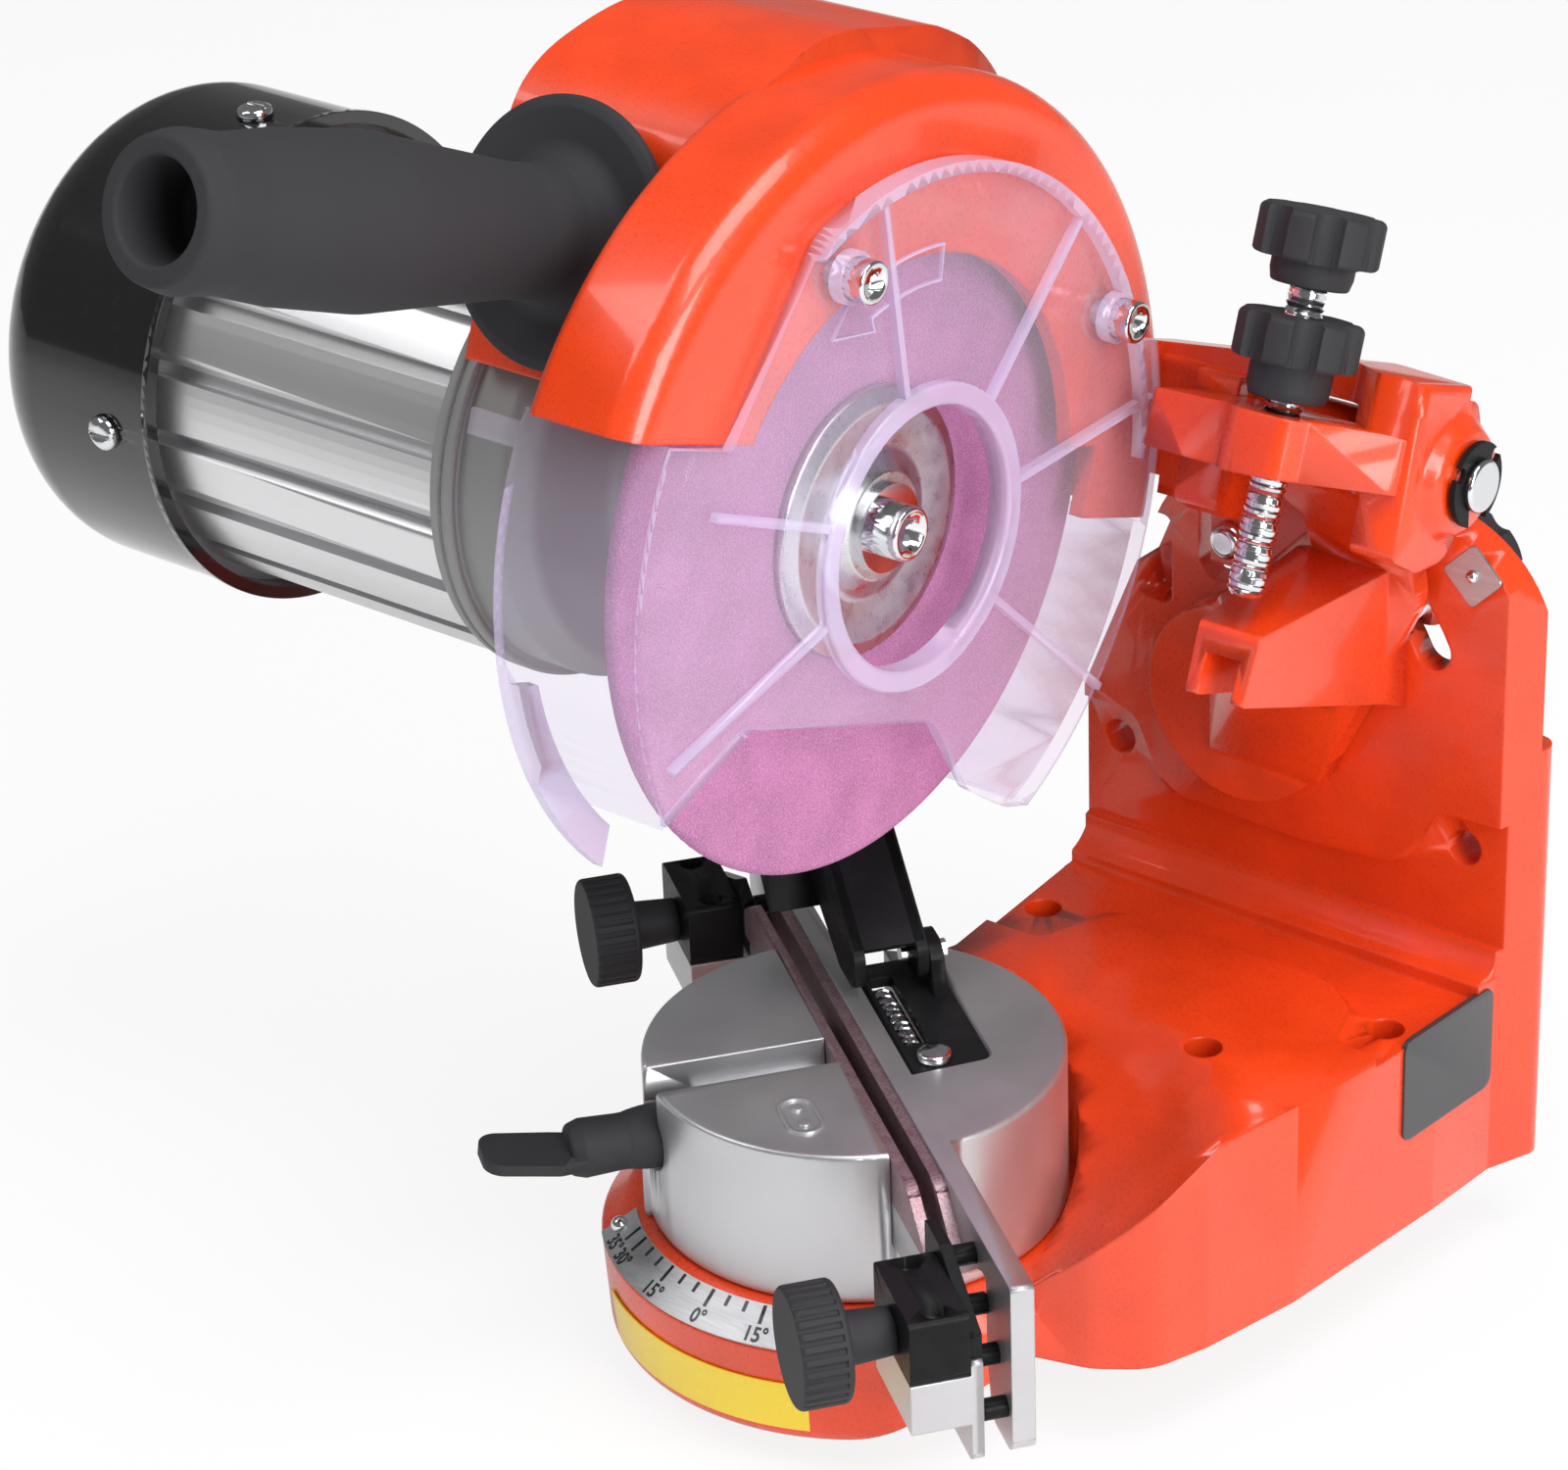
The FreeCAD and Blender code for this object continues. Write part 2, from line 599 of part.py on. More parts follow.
# ================================================================ tilt support
def tilt_support():
    """Leaf on the wall, stop arm towards the operator and hinge barrel on top."""
    y0 = LEAF_Y
    y1 = WALL_Y - GAP
    disc = rod(TILT_R, (TILT_X, y0, TILT_Z), (TILT_X, y1, TILT_Z))
    blade = slab("y", y0, y1, [(50.0, 88.0), (71.5, 131.5), (69.0, 150), (48, 150),
                               (45.6, 142.6), (9.6, 105.5), (10, 88)],
                 [2, 10, 2, 2, 6, 4, 0])
    blade = blade.cut(box(0, 50, y0 - 1, y1 + 1, 60, TILT_Z - 8).cut(
        rod(TILT_R, (TILT_X, y0 - 2, TILT_Z), (TILT_X, y1 + 2, TILT_Z))))
    post = slab("x", EAR_IN + GAP, LUG_IN - GAP, [(y1, 138), (y1, PIN_Z), (PIN_Y - 8, PIN_Z),
                                                  (y0 - 4, 146), (y0, 138)], 0)
    post = post.cut(slab("y", 60, 120, [(30, 130), (46, 130), (47.5, 148), (36, 156),
                                        (30, 156)]))
    barrel = rod(9.2, (EAR_IN + GAP, PIN_Y, PIN_Z), (LUG_IN - GAP, PIN_Y, PIN_Z))
    half = STOP_W / 2
    side = slab("x", 30, 90, [(STOP_FRONT_Y, STOP_Z), (y1, STOP_Z), (y1, 104), (y0, 108),
                              (STOP_FRONT_Y - 6, 125)], [1.5, 0, 0, 0, 1])
    arm = slab("z", 100, STOP_Z, [(STOP_X - half, STOP_FRONT_Y - 8),
                                  (STOP_X + half, STOP_FRONT_Y - 8),
                                  (STOP_X + 11, y0), (STOP_X + 11, y1), (STOP_X - 11, y1),
                                  (STOP_X - 11, y0)])
    arm = arm.common(side)
    wedge = slab("x", TILT_X - 6, STOP_X + 7, [(y1, 84), (y0, 84), (76, 121), (76, 128),
                                               (y1, 128)], [0, 2, 4, 0, 0])
    skew = slab("z", 70, 130, [(14, y1), (TILT_X + 14, 74), (STOP_X + 6.5, 74), (64, y1)])
    leaf = slab("y", 60, y1, [(50.0, 88.0), (68.0, 124.5), (68, 140), (43, 140), (9.6, 105.5),
                              (20, 76), (46, 78)])
    wedge = wedge.common(skew).common(leaf)
    body = fuse(disc, blade, post, barrel, arm, wedge)
    channel = slab("x", STOP_X - 4, STOP_X + 4, [(40, STOP_Z - 5), (y0 - 14, STOP_Z - 5),
                                                 (y0 - 14, 122), (70, 100), (40, 100)],
                   [0, 4, 2, 0, 0])
    body = body.cut(channel)
    body = body.cut(rod(PIN_R, (0, PIN_Y, PIN_Z), (100, PIN_Y, PIN_Z)))
    body = body.cut(rod(5.0 + FIT, (TILT_X, y0 + 1.5, TILT_Z), (TILT_X, 130, TILT_Z)))
    body = body.cut(rod(4.0, (CLAMP_X, y0 + 1.5, CLAMP_Z), (CLAMP_X, 130, CLAMP_Z)))
    relief = slab("y", y1 - 2.2, WALL_Y, [(61, 122), (75, 122), (75, 155), (61, 155)])
    return body.cut(relief)


def tilt_pivot():
    """Shoulder bolt on which the support swings, put in from behind."""
    back = WALL_Y + 9.0
    return lathe("y", (TILT_X, 0, TILT_Z), [(0, LEAF_Y + 1.8), (5.0, LEAF_Y + 1.8), (5.0, back),
                                            (8.5, back), (8.5, back + 5), (0, back + 5)],
                 [0, 0.6, 0, 0, 1, 0])


def wall_button():
    """Domed bolt that stops the support's swing to the left."""
    low = WALL_Y - DOME_HEIGHT
    return lathe("y", (DOME_X, 0, DOME_Z), [(0, low), (DOME_R * 0.8, low), (DOME_R, low + 2.2),
                                            (DOME_R, WALL_Y), (0, WALL_Y)], [0, 3, 1, 0, 0])


def hinge_pin():
    body = rod(PIN_R, (EAR_OUT + 2, PIN_Y, PIN_Z), (PIN_END_X, PIN_Y, PIN_Z))
    body = soften(body, 0.8, lambda e: True)
    groove = tube(PIN_R + 1, PIN_R - 1.2, (LUG_OUT + 1.0, PIN_Y, PIN_Z),
                  (LUG_OUT + 2.3, PIN_Y, PIN_Z))
    return body.cut(groove)


# ================================================================ head
def hub(r_list, low, high):
    """Rods along X about the spindle, in the level head frame."""
    return [rod(r, (low, HUB_Y, HUB_Z), (high, HUB_Y, HUB_Z)) for r in r_list]


def spindle_lathe(profile, radius=0, turn=360.0):
    """Profile of (distance from spindle, x)."""
    return lathe("x", (0, HUB_Y, HUB_Z), profile, radius, turn)


def head_casting():
    cut_z = HUB_Z + HOOD_CUT
    big = 200
    below = box(-big, EAR_OUT - 1, -big, HUB_Y + 62, -big, cut_z)
    below = below.fuse(box(-big, EAR_OUT - 1, HUB_Y + 61, big, -big, HUB_Z + 2))
    disc = spindle_lathe([(0, HOOD_BACK), (HOOD_R, HOOD_BACK), (HOOD_R, HOOD_FRONT),
                          (0, HOOD_FRONT)], [0, 3, 7, 0])
    room = spindle_lathe([(0, HOOD_BACK + HOOD_SKIN), (HOOD_R - HOOD_SKIN, HOOD_BACK + HOOD_SKIN),
                          (HOOD_R - HOOD_SKIN, HOOD_FRONT - HOOD_SKIN),
                          (0, HOOD_FRONT - HOOD_SKIN)], [0, 3, 4, 0])
    mouth = hub([55.0], HOOD_FRONT - 6, HOOD_FRONT + 1)[0]
    # motor housing behind the hood, with the switch hump on top
    side = [(HUB_Y - 50, cut_z), (HUB_Y - 50, HUB_Z + 73), (HUB_Y - 24, HUB_Z + 92),
            (HUB_Y + 22, HUB_Z + 97), (HUB_Y + 50, HUB_Z + 74), (HUB_Y + 52, cut_z)]
    block = slab("x", HUMP_LEFT, HOOD_BACK + 4, side, [0, 26, 40, 40, 14, 0])
    block = block.common(spindle_lathe([(0, HUMP_LEFT), (HUMP_R, HUMP_LEFT),
                                        (HUMP_R, HOOD_BACK + 4), (0, HOOD_BACK + 4)],
                                       [0, 12, 0, 0]))
    inner = [(HUB_Y - 46.8, cut_z - 1), (HUB_Y - 46.8, HUB_Z + 71), (HUB_Y - 22, HUB_Z + 88.5),
             (HUB_Y + 21, HUB_Z + 92.5), (HUB_Y + 46.8, HUB_Z + 72), (HUB_Y + 48.4, cut_z - 1)]
    cave = slab("x", HUMP_LEFT + 4, HOOD_BACK, inner, [0, 23, 37, 37, 11, 0])
    cave = cave.common(spindle_lathe([(0, HUMP_LEFT + 4), (HUMP_R - 3.5, HUMP_LEFT + 4),
                                      (HUMP_R - 3.5, HOOD_BACK), (0, HOOD_BACK)],
                                     [0, 9, 0, 0]))
    outer = fuse(disc, block)
    outer = outer.cut(below)
    body = fuse(outer, *arm_pieces())
    body = cut(body, room, mouth, cave)
    # room for the support's barrel between the lugs, and for the guard's rim
    body = body.cut(box(EAR_IN, LUG_IN, -11, 30, -40, 10.6))
    body = body.cut(hub([GUARD_R + 1.5], HOOD_FRONT, HOOD_FRONT + 14)[0])
    # room for the motor bracket in the end wall and the wheel-side wall
    body = cut(body, *hub([46.0 + FIT], HUMP_LEFT - 1, HUMP_LEFT + 6))
    body = cut(body, *hub([24.0], HOOD_BACK - 1, HOOD_BACK + 6))
    body = body.cut(rod(PIN_R + FIT, (EAR_OUT + 1.5, 0, 0), (100, 0, 0)))
    body = body.cut(rod(SCREW_R + FIT, (STOP_X, SCREW_Y, -20), (STOP_X, SCREW_Y, 20)))
    body = body.cut(rod(4.0, (HANDLE_X, HUB_Y - 60, HANDLE_Z), (HANDLE_X, HUB_Y - 40, HANDLE_Z)))
    for y, z in guard_points():
        body = body.cut(rod(2.5 + FIT, (0, y, z), (20, y, z)))
    body = body.cut(rod(6.5 + FIT, (-38, HUB_Y + 40, HUB_Z + 40), (-38, HUB_Y + 60, HUB_Z + 40)))
    body = body.cut(switch_hole())
    return in_head(body)


def guard_points():
    return [(HUB_Y - 38.5, HUB_Z + 50.0), (HUB_Y + 52.0, HUB_Z + 44.6)]


def switch_hole():
    return box(HUMP_LEFT - 1, HUMP_LEFT + 5, HUB_Y - 12, HUB_Y + 12, HUB_Z + 60, HUB_Z + 78)


def guard():
    """Clear guard: face, skirt round the wheel, collar round the hub and ribs."""
    cut_z = HUB_Z + HOOD_CUT - 0.2
    x0 = GUARD_X
    x1 = GUARD_X + GUARD_T
    big = 150
    face = spindle_lathe([(0, x0), (GUARD_R, x0), (GUARD_R, x1), (0, x1)], [0, 0, 1.0, 0])
    upper = box(0, 30, HUB_Y - big, HUB_Y + big, cut_z, HUB_Z + big)
    keep_upper = slab("x", x0, x1, [(HUB_Y - 63, cut_z - 1), (HUB_Y - 47, HUB_Z + 57),
                                    (HUB_Y, HUB_Z + 90), (HUB_Y + 66, HUB_Z + 55),
                                    (HUB_Y + 84, HUB_Z + 22), (HUB_Y + 84, cut_z - 1)],
                      [0, 12, 30, 20, 8, 0])
    upper_face = hub([74.0], x0, x1)[0].common(keep_upper)
    right = face.common(box(0, 30, HUB_Y + 50, HUB_Y + big, cut_z - 1, HUB_Z + 40))
    face = face.cut(upper)
    notch = slab("x", x0 - 60, x1 + 1, [(HUB_Y - 61, HUB_Z - 54), (HUB_Y - 41, HUB_Z - 37),
                                        (HUB_Y + 18, HUB_Z - 38), (HUB_Y + 35, HUB_Z - 53),
                                        (HUB_Y + 50, HUB_Z - 57.5), (HUB_Y + 62, HUB_Z - 57.5),
                                        (HUB_Y + 62, HUB_Z - 95), (HUB_Y - 61, HUB_Z - 95)],
                 [0, 6, 6, 6, 3, 0, 0, 0])
    face = face.cut(notch)
    skirt = spindle_lathe([(GUARD_R - GUARD_T, GUARD_BACK), (GUARD_R, GUARD_BACK),
                           (GUARD_R, x0 + 0.5), (GUARD_R - GUARD_T, x0 + 0.5)])
    skirt = skirt.cut(box(-60, 60, HUB_Y - 60, HUB_Y + 52, HUB_Z - 100, HUB_Z + 100))
    skirt = skirt.cut(box(-60, 60, HUB_Y - 100, HUB_Y, cut_z, HUB_Z + 100))
    skirt = skirt.cut(box(-60, 60, HUB_Y, HUB_Y + 100, HUB_Z + 1.5, HUB_Z + 100))
    skirt = skirt.cut(box(-60, 60, HUB_Y - 100, HUB_Y + 100, HUB_Z - 100, HUB_Z - 57))
    rear = spindle_lathe([(74.5, GUARD_BACK), (GUARD_R, GUARD_BACK), (GUARD_R, GUARD_BACK + 2.5),
                          (74.5, GUARD_BACK + 2.5)])
    rear = rear.common(box(-60, 60, HUB_Y - 100, HUB_Y - 36, HUB_Z - 100, HUB_Z - 36))
    collar = spindle_lathe([(26.5, x0), (31.0, x0), (31.0, x1 + 2.5), (26.5, x1 + 2.5)],
                           [0, 0, 0.8, 0.8])
    body = fuse(face, upper_face, right, skirt, rear)
    body = body.cut(hub([28.0], x0 - 5, x1 + 5)[0])
    ribs = []
    for a0, r0, r1, w in ((117, 30.5, 72.5, 1.6), (63, 30.5, 72.5, 1.6), (22, 30.5, 76, 1.8),
                          (176, 30.5, 66, 1.8), (214, 30.5, 78, 1.6), (-24, 30.5, 80, 1.6)):
        bar = box(x1 - 0.3, x1 + 1.8, r0, r1, -w / 2, w / 2)
        bar.rotate(ORIGIN, AXES["x"], a0)
        bar.translate(Vector(0, HUB_Y, HUB_Z))
        ribs.append(bar)
    rim = spindle_lathe([(71.6, x1 - 0.3), (74.0, x1 - 0.3), (74.0, x1 + 2.2), (71.6, x1 + 2.2)])
    rim = rim.common(keep_upper_rim(keep_upper, x1))
    body = fuse(body, collar, rim, *ribs)
    for y, z in guard_points():
        body = fuse(body, rod(5.2, (HOOD_FRONT + 0.02, y, z), (x1 + 2.4, y, z)))
    for y, z in guard_points():
        body = body.cut(rod(2.6, (0, y, z), (30, y, z)))
    tab = box(GUARD_BACK - 12, GUARD_BACK + 2, HUB_Y - GUARD_R + 1, HUB_Y - GUARD_R + 2.6,
              HUB_Z + 9, HUB_Z + 14)
    body = fuse(body, tab)
    return in_head(body)


def keep_upper_rim(face, x1):
    tall = face.copy()
    tall.translate(Vector(GUARD_T - 0.3, 0, 0))
    return tall


def guard_bolts():
    out = []
    x = GUARD_X + GUARD_T + 2.4
    for y, z in guard_points():
        bolt = lathe("x", (0, y, z), [(0, x - 14), (2.5, x - 14), (2.5, x), (4.3, x),
                                      (4.3, x + 4.6), (0, x + 4.6)], [0, 0, 0, 0, 0.6, 0])
        socket = []
        for i in range(6):
            a = math.radians(60 * i + 30)
            socket.append((y + 2.3 * math.cos(a), z + 2.3 * math.sin(a)))
        bolt = bolt.cut(slab("x", x + 2.2, x + 6, socket))
        out.append(bolt)
    return in_head(Part.makeCompound(out))


def handle():
    """Hollow grip with its dished flange, pointing at the operator."""
    y = HUB_Y - 50.0
    n = HANDLE_LEN
    c = (HANDLE_X, y, HANDLE_Z)
    grip = lathe("y", c, [(0, -1.6), (22.0, -1.6), (26.2, -5.0), (26.2, -7.0), (24.0, -7.6),
                          (15.0, -6.2), (13.0, -12), (12.8, -22), (14.8, -44), (16.6, -62),
                          (15.8, -84), (14.2, -98), (14.6, -n + 2), (13.2, -n - 3),
                          (9.5, -n - 3), (8.8, -n + 14), (0, -n + 14)],
                 [0, 2, 1, 1, 2, 5, 6, 14, 30, 30, 20, 14, 4, 1.5, 1, 2, 0])
    socket = rod(4.0 + FIT, (HANDLE_X, y + 1, HANDLE_Z), (HANDLE_X, y - 60, HANDLE_Z))
    return in_head(grip.cut(socket))


def handle_stud():
    y = HUB_Y - 50.0
    stud = rod(4.0, (HANDLE_X, y + 9, HANDLE_Z), (HANDLE_X, y - 58, HANDLE_Z))
    nut = []
    for i in range(6):
        a = math.radians(60 * i)
        nut.append((HANDLE_X + 7.2 * math.cos(a), HANDLE_Z + 7.2 * math.sin(a)))
    stud = fuse(stud, slab("y", y + 3.4, y + 8.5, nut))
    return in_head(stud)


def motor_bracket():
    """Grey cast end ring and the bell that carries the front bearing."""
    ring = spindle_lathe([(16.05, RING_X), (MOTOR_R + 1.0, RING_X), (MOTOR_R + 1.0, HUMP_LEFT - 0.02),
                          (46.0, HUMP_LEFT - 0.02), (46.0, -52), (42.0, -46), (26, -40),
                          (23.6, -17), (20.0, -17), (16.05, -17)],
                         [0, 1, 1, 0, 3, 4, 3, 2, 0, 0])
    room = spindle_lathe([(0, RING_X - 1), (42.5, RING_X - 1), (42.5, -54), (36, -50), (22, -47),
                          (0, -47)], [0, 0, 3, 3, 0, 0])
    groove = spindle_lathe([(MOTOR_R + 0.3, -65.6), (MOTOR_R + 2, -65.6), (MOTOR_R + 2, -64.4),
                            (MOTOR_R + 0.3, -64.4)])
    body = cut(ring, room, groove)
    body = body.cut(hub([11.0], -30, -10)[0])
    return in_head(body)


def motor_housing():
    """Extruded aluminium sleeve with wide flat fins."""
    sleeve = spindle_lathe([(40.0, MOTOR_LEFT), (MOTOR_R, MOTOR_LEFT), (MOTOR_R, RING_X - 0.02),
                            (40.0, RING_X - 0.02)])
    groove = box(MOTOR_LEFT - 1, RING_X + 1, HUB_Y - 1.7, HUB_Y + 1.7, HUB_Z + MOTOR_R - 3.4,
                 HUB_Z + MOTOR_R + 3)
    for tool in ring_of(groove, "x", (0, HUB_Y, HUB_Z), FIN_COUNT, 4.0):
        sleeve = sleeve.cut(tool)
    return in_head(sleeve)


def motor_cap():
    """Black fan cover with vent slots in its end."""
    wall = spindle_lathe([(0, CAP_LEFT), (CAP_R, CAP_LEFT), (CAP_R, MOTOR_LEFT + 4),
                          (CAP_R + 0.8, MOTOR_LEFT + 4), (CAP_R + 0.8, MOTOR_LEFT + 5.5),
                          (CAP_R - 2.0, MOTOR_LEFT + 5.5), (CAP_R - 2.0, CAP_LEFT + 2.0),
                          (0, CAP_LEFT + 2.0)], [0, 17, 0, 0, 0, 0, 15, 0])
    for ring in (14, 22, 30):
        count = 8 if ring < 20 else 12
        slot = box(CAP_LEFT - 1, CAP_LEFT + 4, HUB_Y - 1.5, HUB_Y + 1.5, HUB_Z + ring - 2.6,
                   HUB_Z + ring + 2.6)
        for tool in ring_of(slot, "x", (0, HUB_Y, HUB_Z), count):
            wall = wall.cut(tool)
    hole = rod(2.1, (MOTOR_LEFT - 8, HUB_Y, HUB_Z + 40), (MOTOR_LEFT - 8, HUB_Y, HUB_Z + 60))
    for tool in ring_of(hole, "x", (0, HUB_Y, HUB_Z), 4, 22):
        wall = wall.cut(tool)
    return in_head(wall)


def motor_shield():
    """Rear end shield: holds the rear bearing and the fan cover's screws."""
    body = spindle_lathe([(16.05, MOTOR_LEFT - 14), (20, MOTOR_LEFT - 14), (22, MOTOR_LEFT - 5),
                          (40, MOTOR_LEFT - 4), (44, MOTOR_LEFT - 12), (CAP_R - 2.05, MOTOR_LEFT - 12),
                          (CAP_R - 2.05, MOTOR_LEFT - 0.02), (38, MOTOR_LEFT - 0.02),
                          (38, MOTOR_LEFT + 1.5), (20, MOTOR_LEFT + 0.5), (16.05, MOTOR_LEFT)],
                         [0, 1, 2, 2, 0, 0, 0, 0, 0, 0, 0])
    floor = spindle_lathe([(9.0, MOTOR_LEFT - 1.5), (16.5, MOTOR_LEFT - 1.5),
                           (16.5, MOTOR_LEFT + 0.3), (9.0, MOTOR_LEFT + 0.3)])
    body = fuse(body, floor)
    hole = rod(2.1, (MOTOR_LEFT - 8, HUB_Y, HUB_Z + 40), (MOTOR_LEFT - 8, HUB_Y, HUB_Z + 60))
    for tool in ring_of(hole, "x", (0, HUB_Y, HUB_Z), 4, 22):
        body = body.cut(tool)
    return in_head(body)


def cap_screws():
    one = lathe("z", (MOTOR_LEFT - 8, HUB_Y, HUB_Z), [(0, 45), (2.0, 45), (2.0, CAP_R), (3.9, CAP_R),
                                                      (3.6, CAP_R + 1.6), (2.2, CAP_R + 2.4),
                                                      (0, CAP_R + 2.4)], 0)
    slot = box(MOTOR_LEFT - 11, MOTOR_LEFT - 5, HUB_Y - 0.5, HUB_Y + 0.5, HUB_Z + CAP_R + 1.4,
               HUB_Z + CAP_R + 4)
    one = one.cut(slot)
    out = ring_of(one, "x", (0, HUB_Y, HUB_Z), 4, 22)
    return in_head(Part.makeCompound(out))


def stator():
    body = spindle_lathe([(24.0, -132), (39.95, -132), (39.95, -84), (24.0, -84)])
    slot = box(-133, -83, HUB_Y - 2.6, HUB_Y + 2.6, HUB_Z + 22, HUB_Z + 33)
    for tool in ring_of(slot, "x", (0, HUB_Y, HUB_Z), 12):
        body = body.cut(tool)
    return in_head(body)


def windings():
    out = []
    for x0, x1 in ((-141, -132.02), (-83.98, -75)):
        out.append(spindle_lathe([(25.5, x0), (36.0, x0), (36.0, x1), (25.5, x1)], 3))
    return in_head(Part.makeCompound(out))


def bearings():
    out = []
    for x0 in (-28.0 + 0.0, MOTOR_LEFT - 12.5):
        x1 = x0 + 10.0
        ring = spindle_lathe([(SHAFT_R + 0.02, x0), (16.0, x0), (16.0, x1), (SHAFT_R + 0.02, x1)],
                             0.5)
        for side in (x0 - 1, x1 - 0.8):
            lip = spindle_lathe([(9.2, side), (12.8, side), (12.8, side + 1.8),
                                 (9.2, side + 1.8)])
            ring = ring.cut(lip)
        out.append(ring)
    return in_head(Part.makeCompound(out))


def rotor():
    core = spindle_lathe([(SHAFT_R + 0.01, -131), (23.3, -131), (23.3, -85), (SHAFT_R + 0.01, -85)],
                         [0, 1, 1, 0])
    return in_head(core)


def shaft():
    body = spindle_lathe([(0, -184), (SHAFT_R, -184), (SHAFT_R, -5.6), (4.9, -5.6), (4.9, 7.0),
                          (0, 7.0)], [0, 0.6, 0, 0, 0.3, 0])
    body = body.cut(hub([3.0], -8, 9)[0])
    return in_head(body)


def fan():
    disc = spindle_lathe([(SHAFT_R + 0.01, -176), (42, -176), (42, -174), (12, -172), (12, -168),
                          (SHAFT_R + 0.01, -168)], [0, 0, 0, 2, 0, 0])
    blade = box(-184, -175.5, HUB_Y - 0.8, HUB_Y + 0.8, HUB_Z + 16, HUB_Z + 41)
    body = fuse(disc, *ring_of(blade, "x", (0, HUB_Y, HUB_Z), 8))
    return in_head(body)


def back_flange():
    """Inner flange, whose spigot centres the wheel."""
    half = WHEEL_T / 2
    body = spindle_lathe([(4.9, -5.6), (FLANGE_R, -5.6), (FLANGE_R, -half),
                          (22, -half), (20, -half - 0.6), (11.1, -half - 0.6),
                          (11.1, half - 0.1), (4.9, half - 0.1)], [0, 1, 0, 0, 0, 0, 0.3, 0])
    return in_head(body)


def grinding_wheel():
    half = WHEEL_T / 2
    body = spindle_lathe([(11.1, -half), (WHEEL_R, -half), (WHEEL_R, half), (11.1, half)],
                         [0, 2.1, 2.1, 0])
    return in_head(body)


def front_flange():
    """Dished aluminium flange that clamps the wheel."""
    half = WHEEL_T / 2
    body = spindle_lathe([(4.9, half), (11.2, half), (16, half + 0.6), (22, half),
                          (FLANGE_R, half), (FLANGE_R, half + 1.8), (24, half + 3.2),
                          (15, half + 1.9), (11, half + 5.2), (4.9, half + 5.2)],
                         [0, 0, 0, 0, 0, 1, 2, 3, 1, 0])
    return in_head(body)


def wheel_bolt():
    """Socket-head bolt in the end of the spindle, with its washer."""
    x = WHEEL_T / 2 + 5.2
    washer = spindle_lathe([(3.0, x), (9.0, x), (9.0, x + 1.6), (3.0, x + 1.6)])
    bolt = spindle_lathe([(0, -7), (3.0, -7), (3.0, x + 1.6), (5.6, x + 1.6), (5.6, x + 7.0),
                          (0, x + 7.0)], [0, 0, 0, 0, 0.8, 0])
    socket = []
    for i in range(6):
        a = math.radians(60 * i + 30)
        socket.append((HUB_Y + 3.1 * math.cos(a), HUB_Z + 3.1 * math.sin(a)))
    bolt = bolt.cut(slab("x", x + 3.6, x + 9, socket))
    return in_head(Part.makeCompound([washer, bolt]))


def capacitor():
    body = rod(12.5, (-52, HUB_Y + 28, HUB_Z + 64), (-22, HUB_Y + 28, HUB_Z + 64))
    body = soften(body, 2.0, lambda e: True)
    return in_head(body)


def switch_body():
    """Housing of the rocker switch, let into the hump's end wall."""
    x0 = HUMP_LEFT
    body = box(x0 - 1.6, x0, HUB_Y - 14, HUB_Y + 14, HUB_Z + 58, HUB_Z + 80)
    body = fuse(body, box(x0 - 0.1, x0 + 18, HUB_Y - 11.9, HUB_Y - 9.0, HUB_Z + 60.1,
                          HUB_Z + 77.9),
                box(x0 - 0.1, x0 + 18, HUB_Y + 9.0, HUB_Y + 11.9, HUB_Z + 60.1, HUB_Z + 77.9),
                box(x0 - 0.1, x0 + 18, HUB_Y - 11.9, HUB_Y + 11.9, HUB_Z + 60.1, HUB_Z + 62),
                box(x0 - 0.1, x0 + 18, HUB_Y - 11.9, HUB_Y + 11.9, HUB_Z + 76, HUB_Z + 77.9),
                box(x0 + 12, x0 + 18, HUB_Y - 11.9, HUB_Y + 11.9, HUB_Z + 60.1, HUB_Z + 77.9))
    body = body.cut(box(x0 - 3, x0 + 12, HUB_Y - 9.0, HUB_Y + 9.0, HUB_Z + 62, HUB_Z + 76))
    body = body.cut(rod(1.5 + FIT, (x0 + 2.0, HUB_Y - 11, HUB_Z + 69), (x0 + 2.0, HUB_Y + 11,
                                                                        HUB_Z + 69)))
    return in_head(body)


def rocker():
    x0 = HUMP_LEFT
    z = HUB_Z + 69
    paddle = slab("y", HUB_Y - 8.6, HUB_Y + 8.6, [(x0 + 5.5, z - 3.0), (x0 + 5.5, z + 3.0),
                                                  (x0 + 1.5, z + 6.2), (x0 - 5.2, z + 6.0),
                                                  (x0 - 2.6, z), (x0 - 2.2, z - 6.0),
                                                  (x0 + 1.5, z - 6.2)],
                  [1, 1, 1, 0.6, 3, 0.6, 1])
    pin = rod(1.5, (x0 + 2.0, HUB_Y - 10.9, z), (x0 + 2.0, HUB_Y + 10.9, z))
    return in_head(fuse(paddle, pin))


def cord_gland():
    """Rubber bush where the lead would enter."""
    body = lathe("y", (-38, HUB_Y + 52, HUB_Z + 40), [(3.4, -8), (6.5, -8), (6.5, 0), (9.0, 0),
                                                      (9.0, 3), (6.2, 5), (5.0, 20), (3.4, 20)],
                 [0, 0, 0, 0, 1, 2, 1, 0])
    return in_head(body)


def depth_screw():
    """Threaded depth rod."""
    body = rod(SCREW_R, (STOP_X, SCREW_Y, -30.4), (STOP_X, SCREW_Y, 36))
    body = soften(body, 0.7, lambda e: e.BoundBox.ZMax < 0)
    return in_head(body)


def depth_knob():
    knob = star(15.5, 3.0, 7, 34.5, 48.5, "z", (STOP_X, SCREW_Y, 0))
    neck = lathe("z", (STOP_X, SCREW_Y, 0), [(0, 29.5), (9.0, 29.5), (9.8, 32), (9.8, 35),
                                             (0, 35)], [0, 0.8, 0, 0, 0])
    body = fuse(knob, neck)
    body = body.cut(rod(SCREW_R, (STOP_X, SCREW_Y, 20), (STOP_X, SCREW_Y, 36.02)))
    return in_head(body)


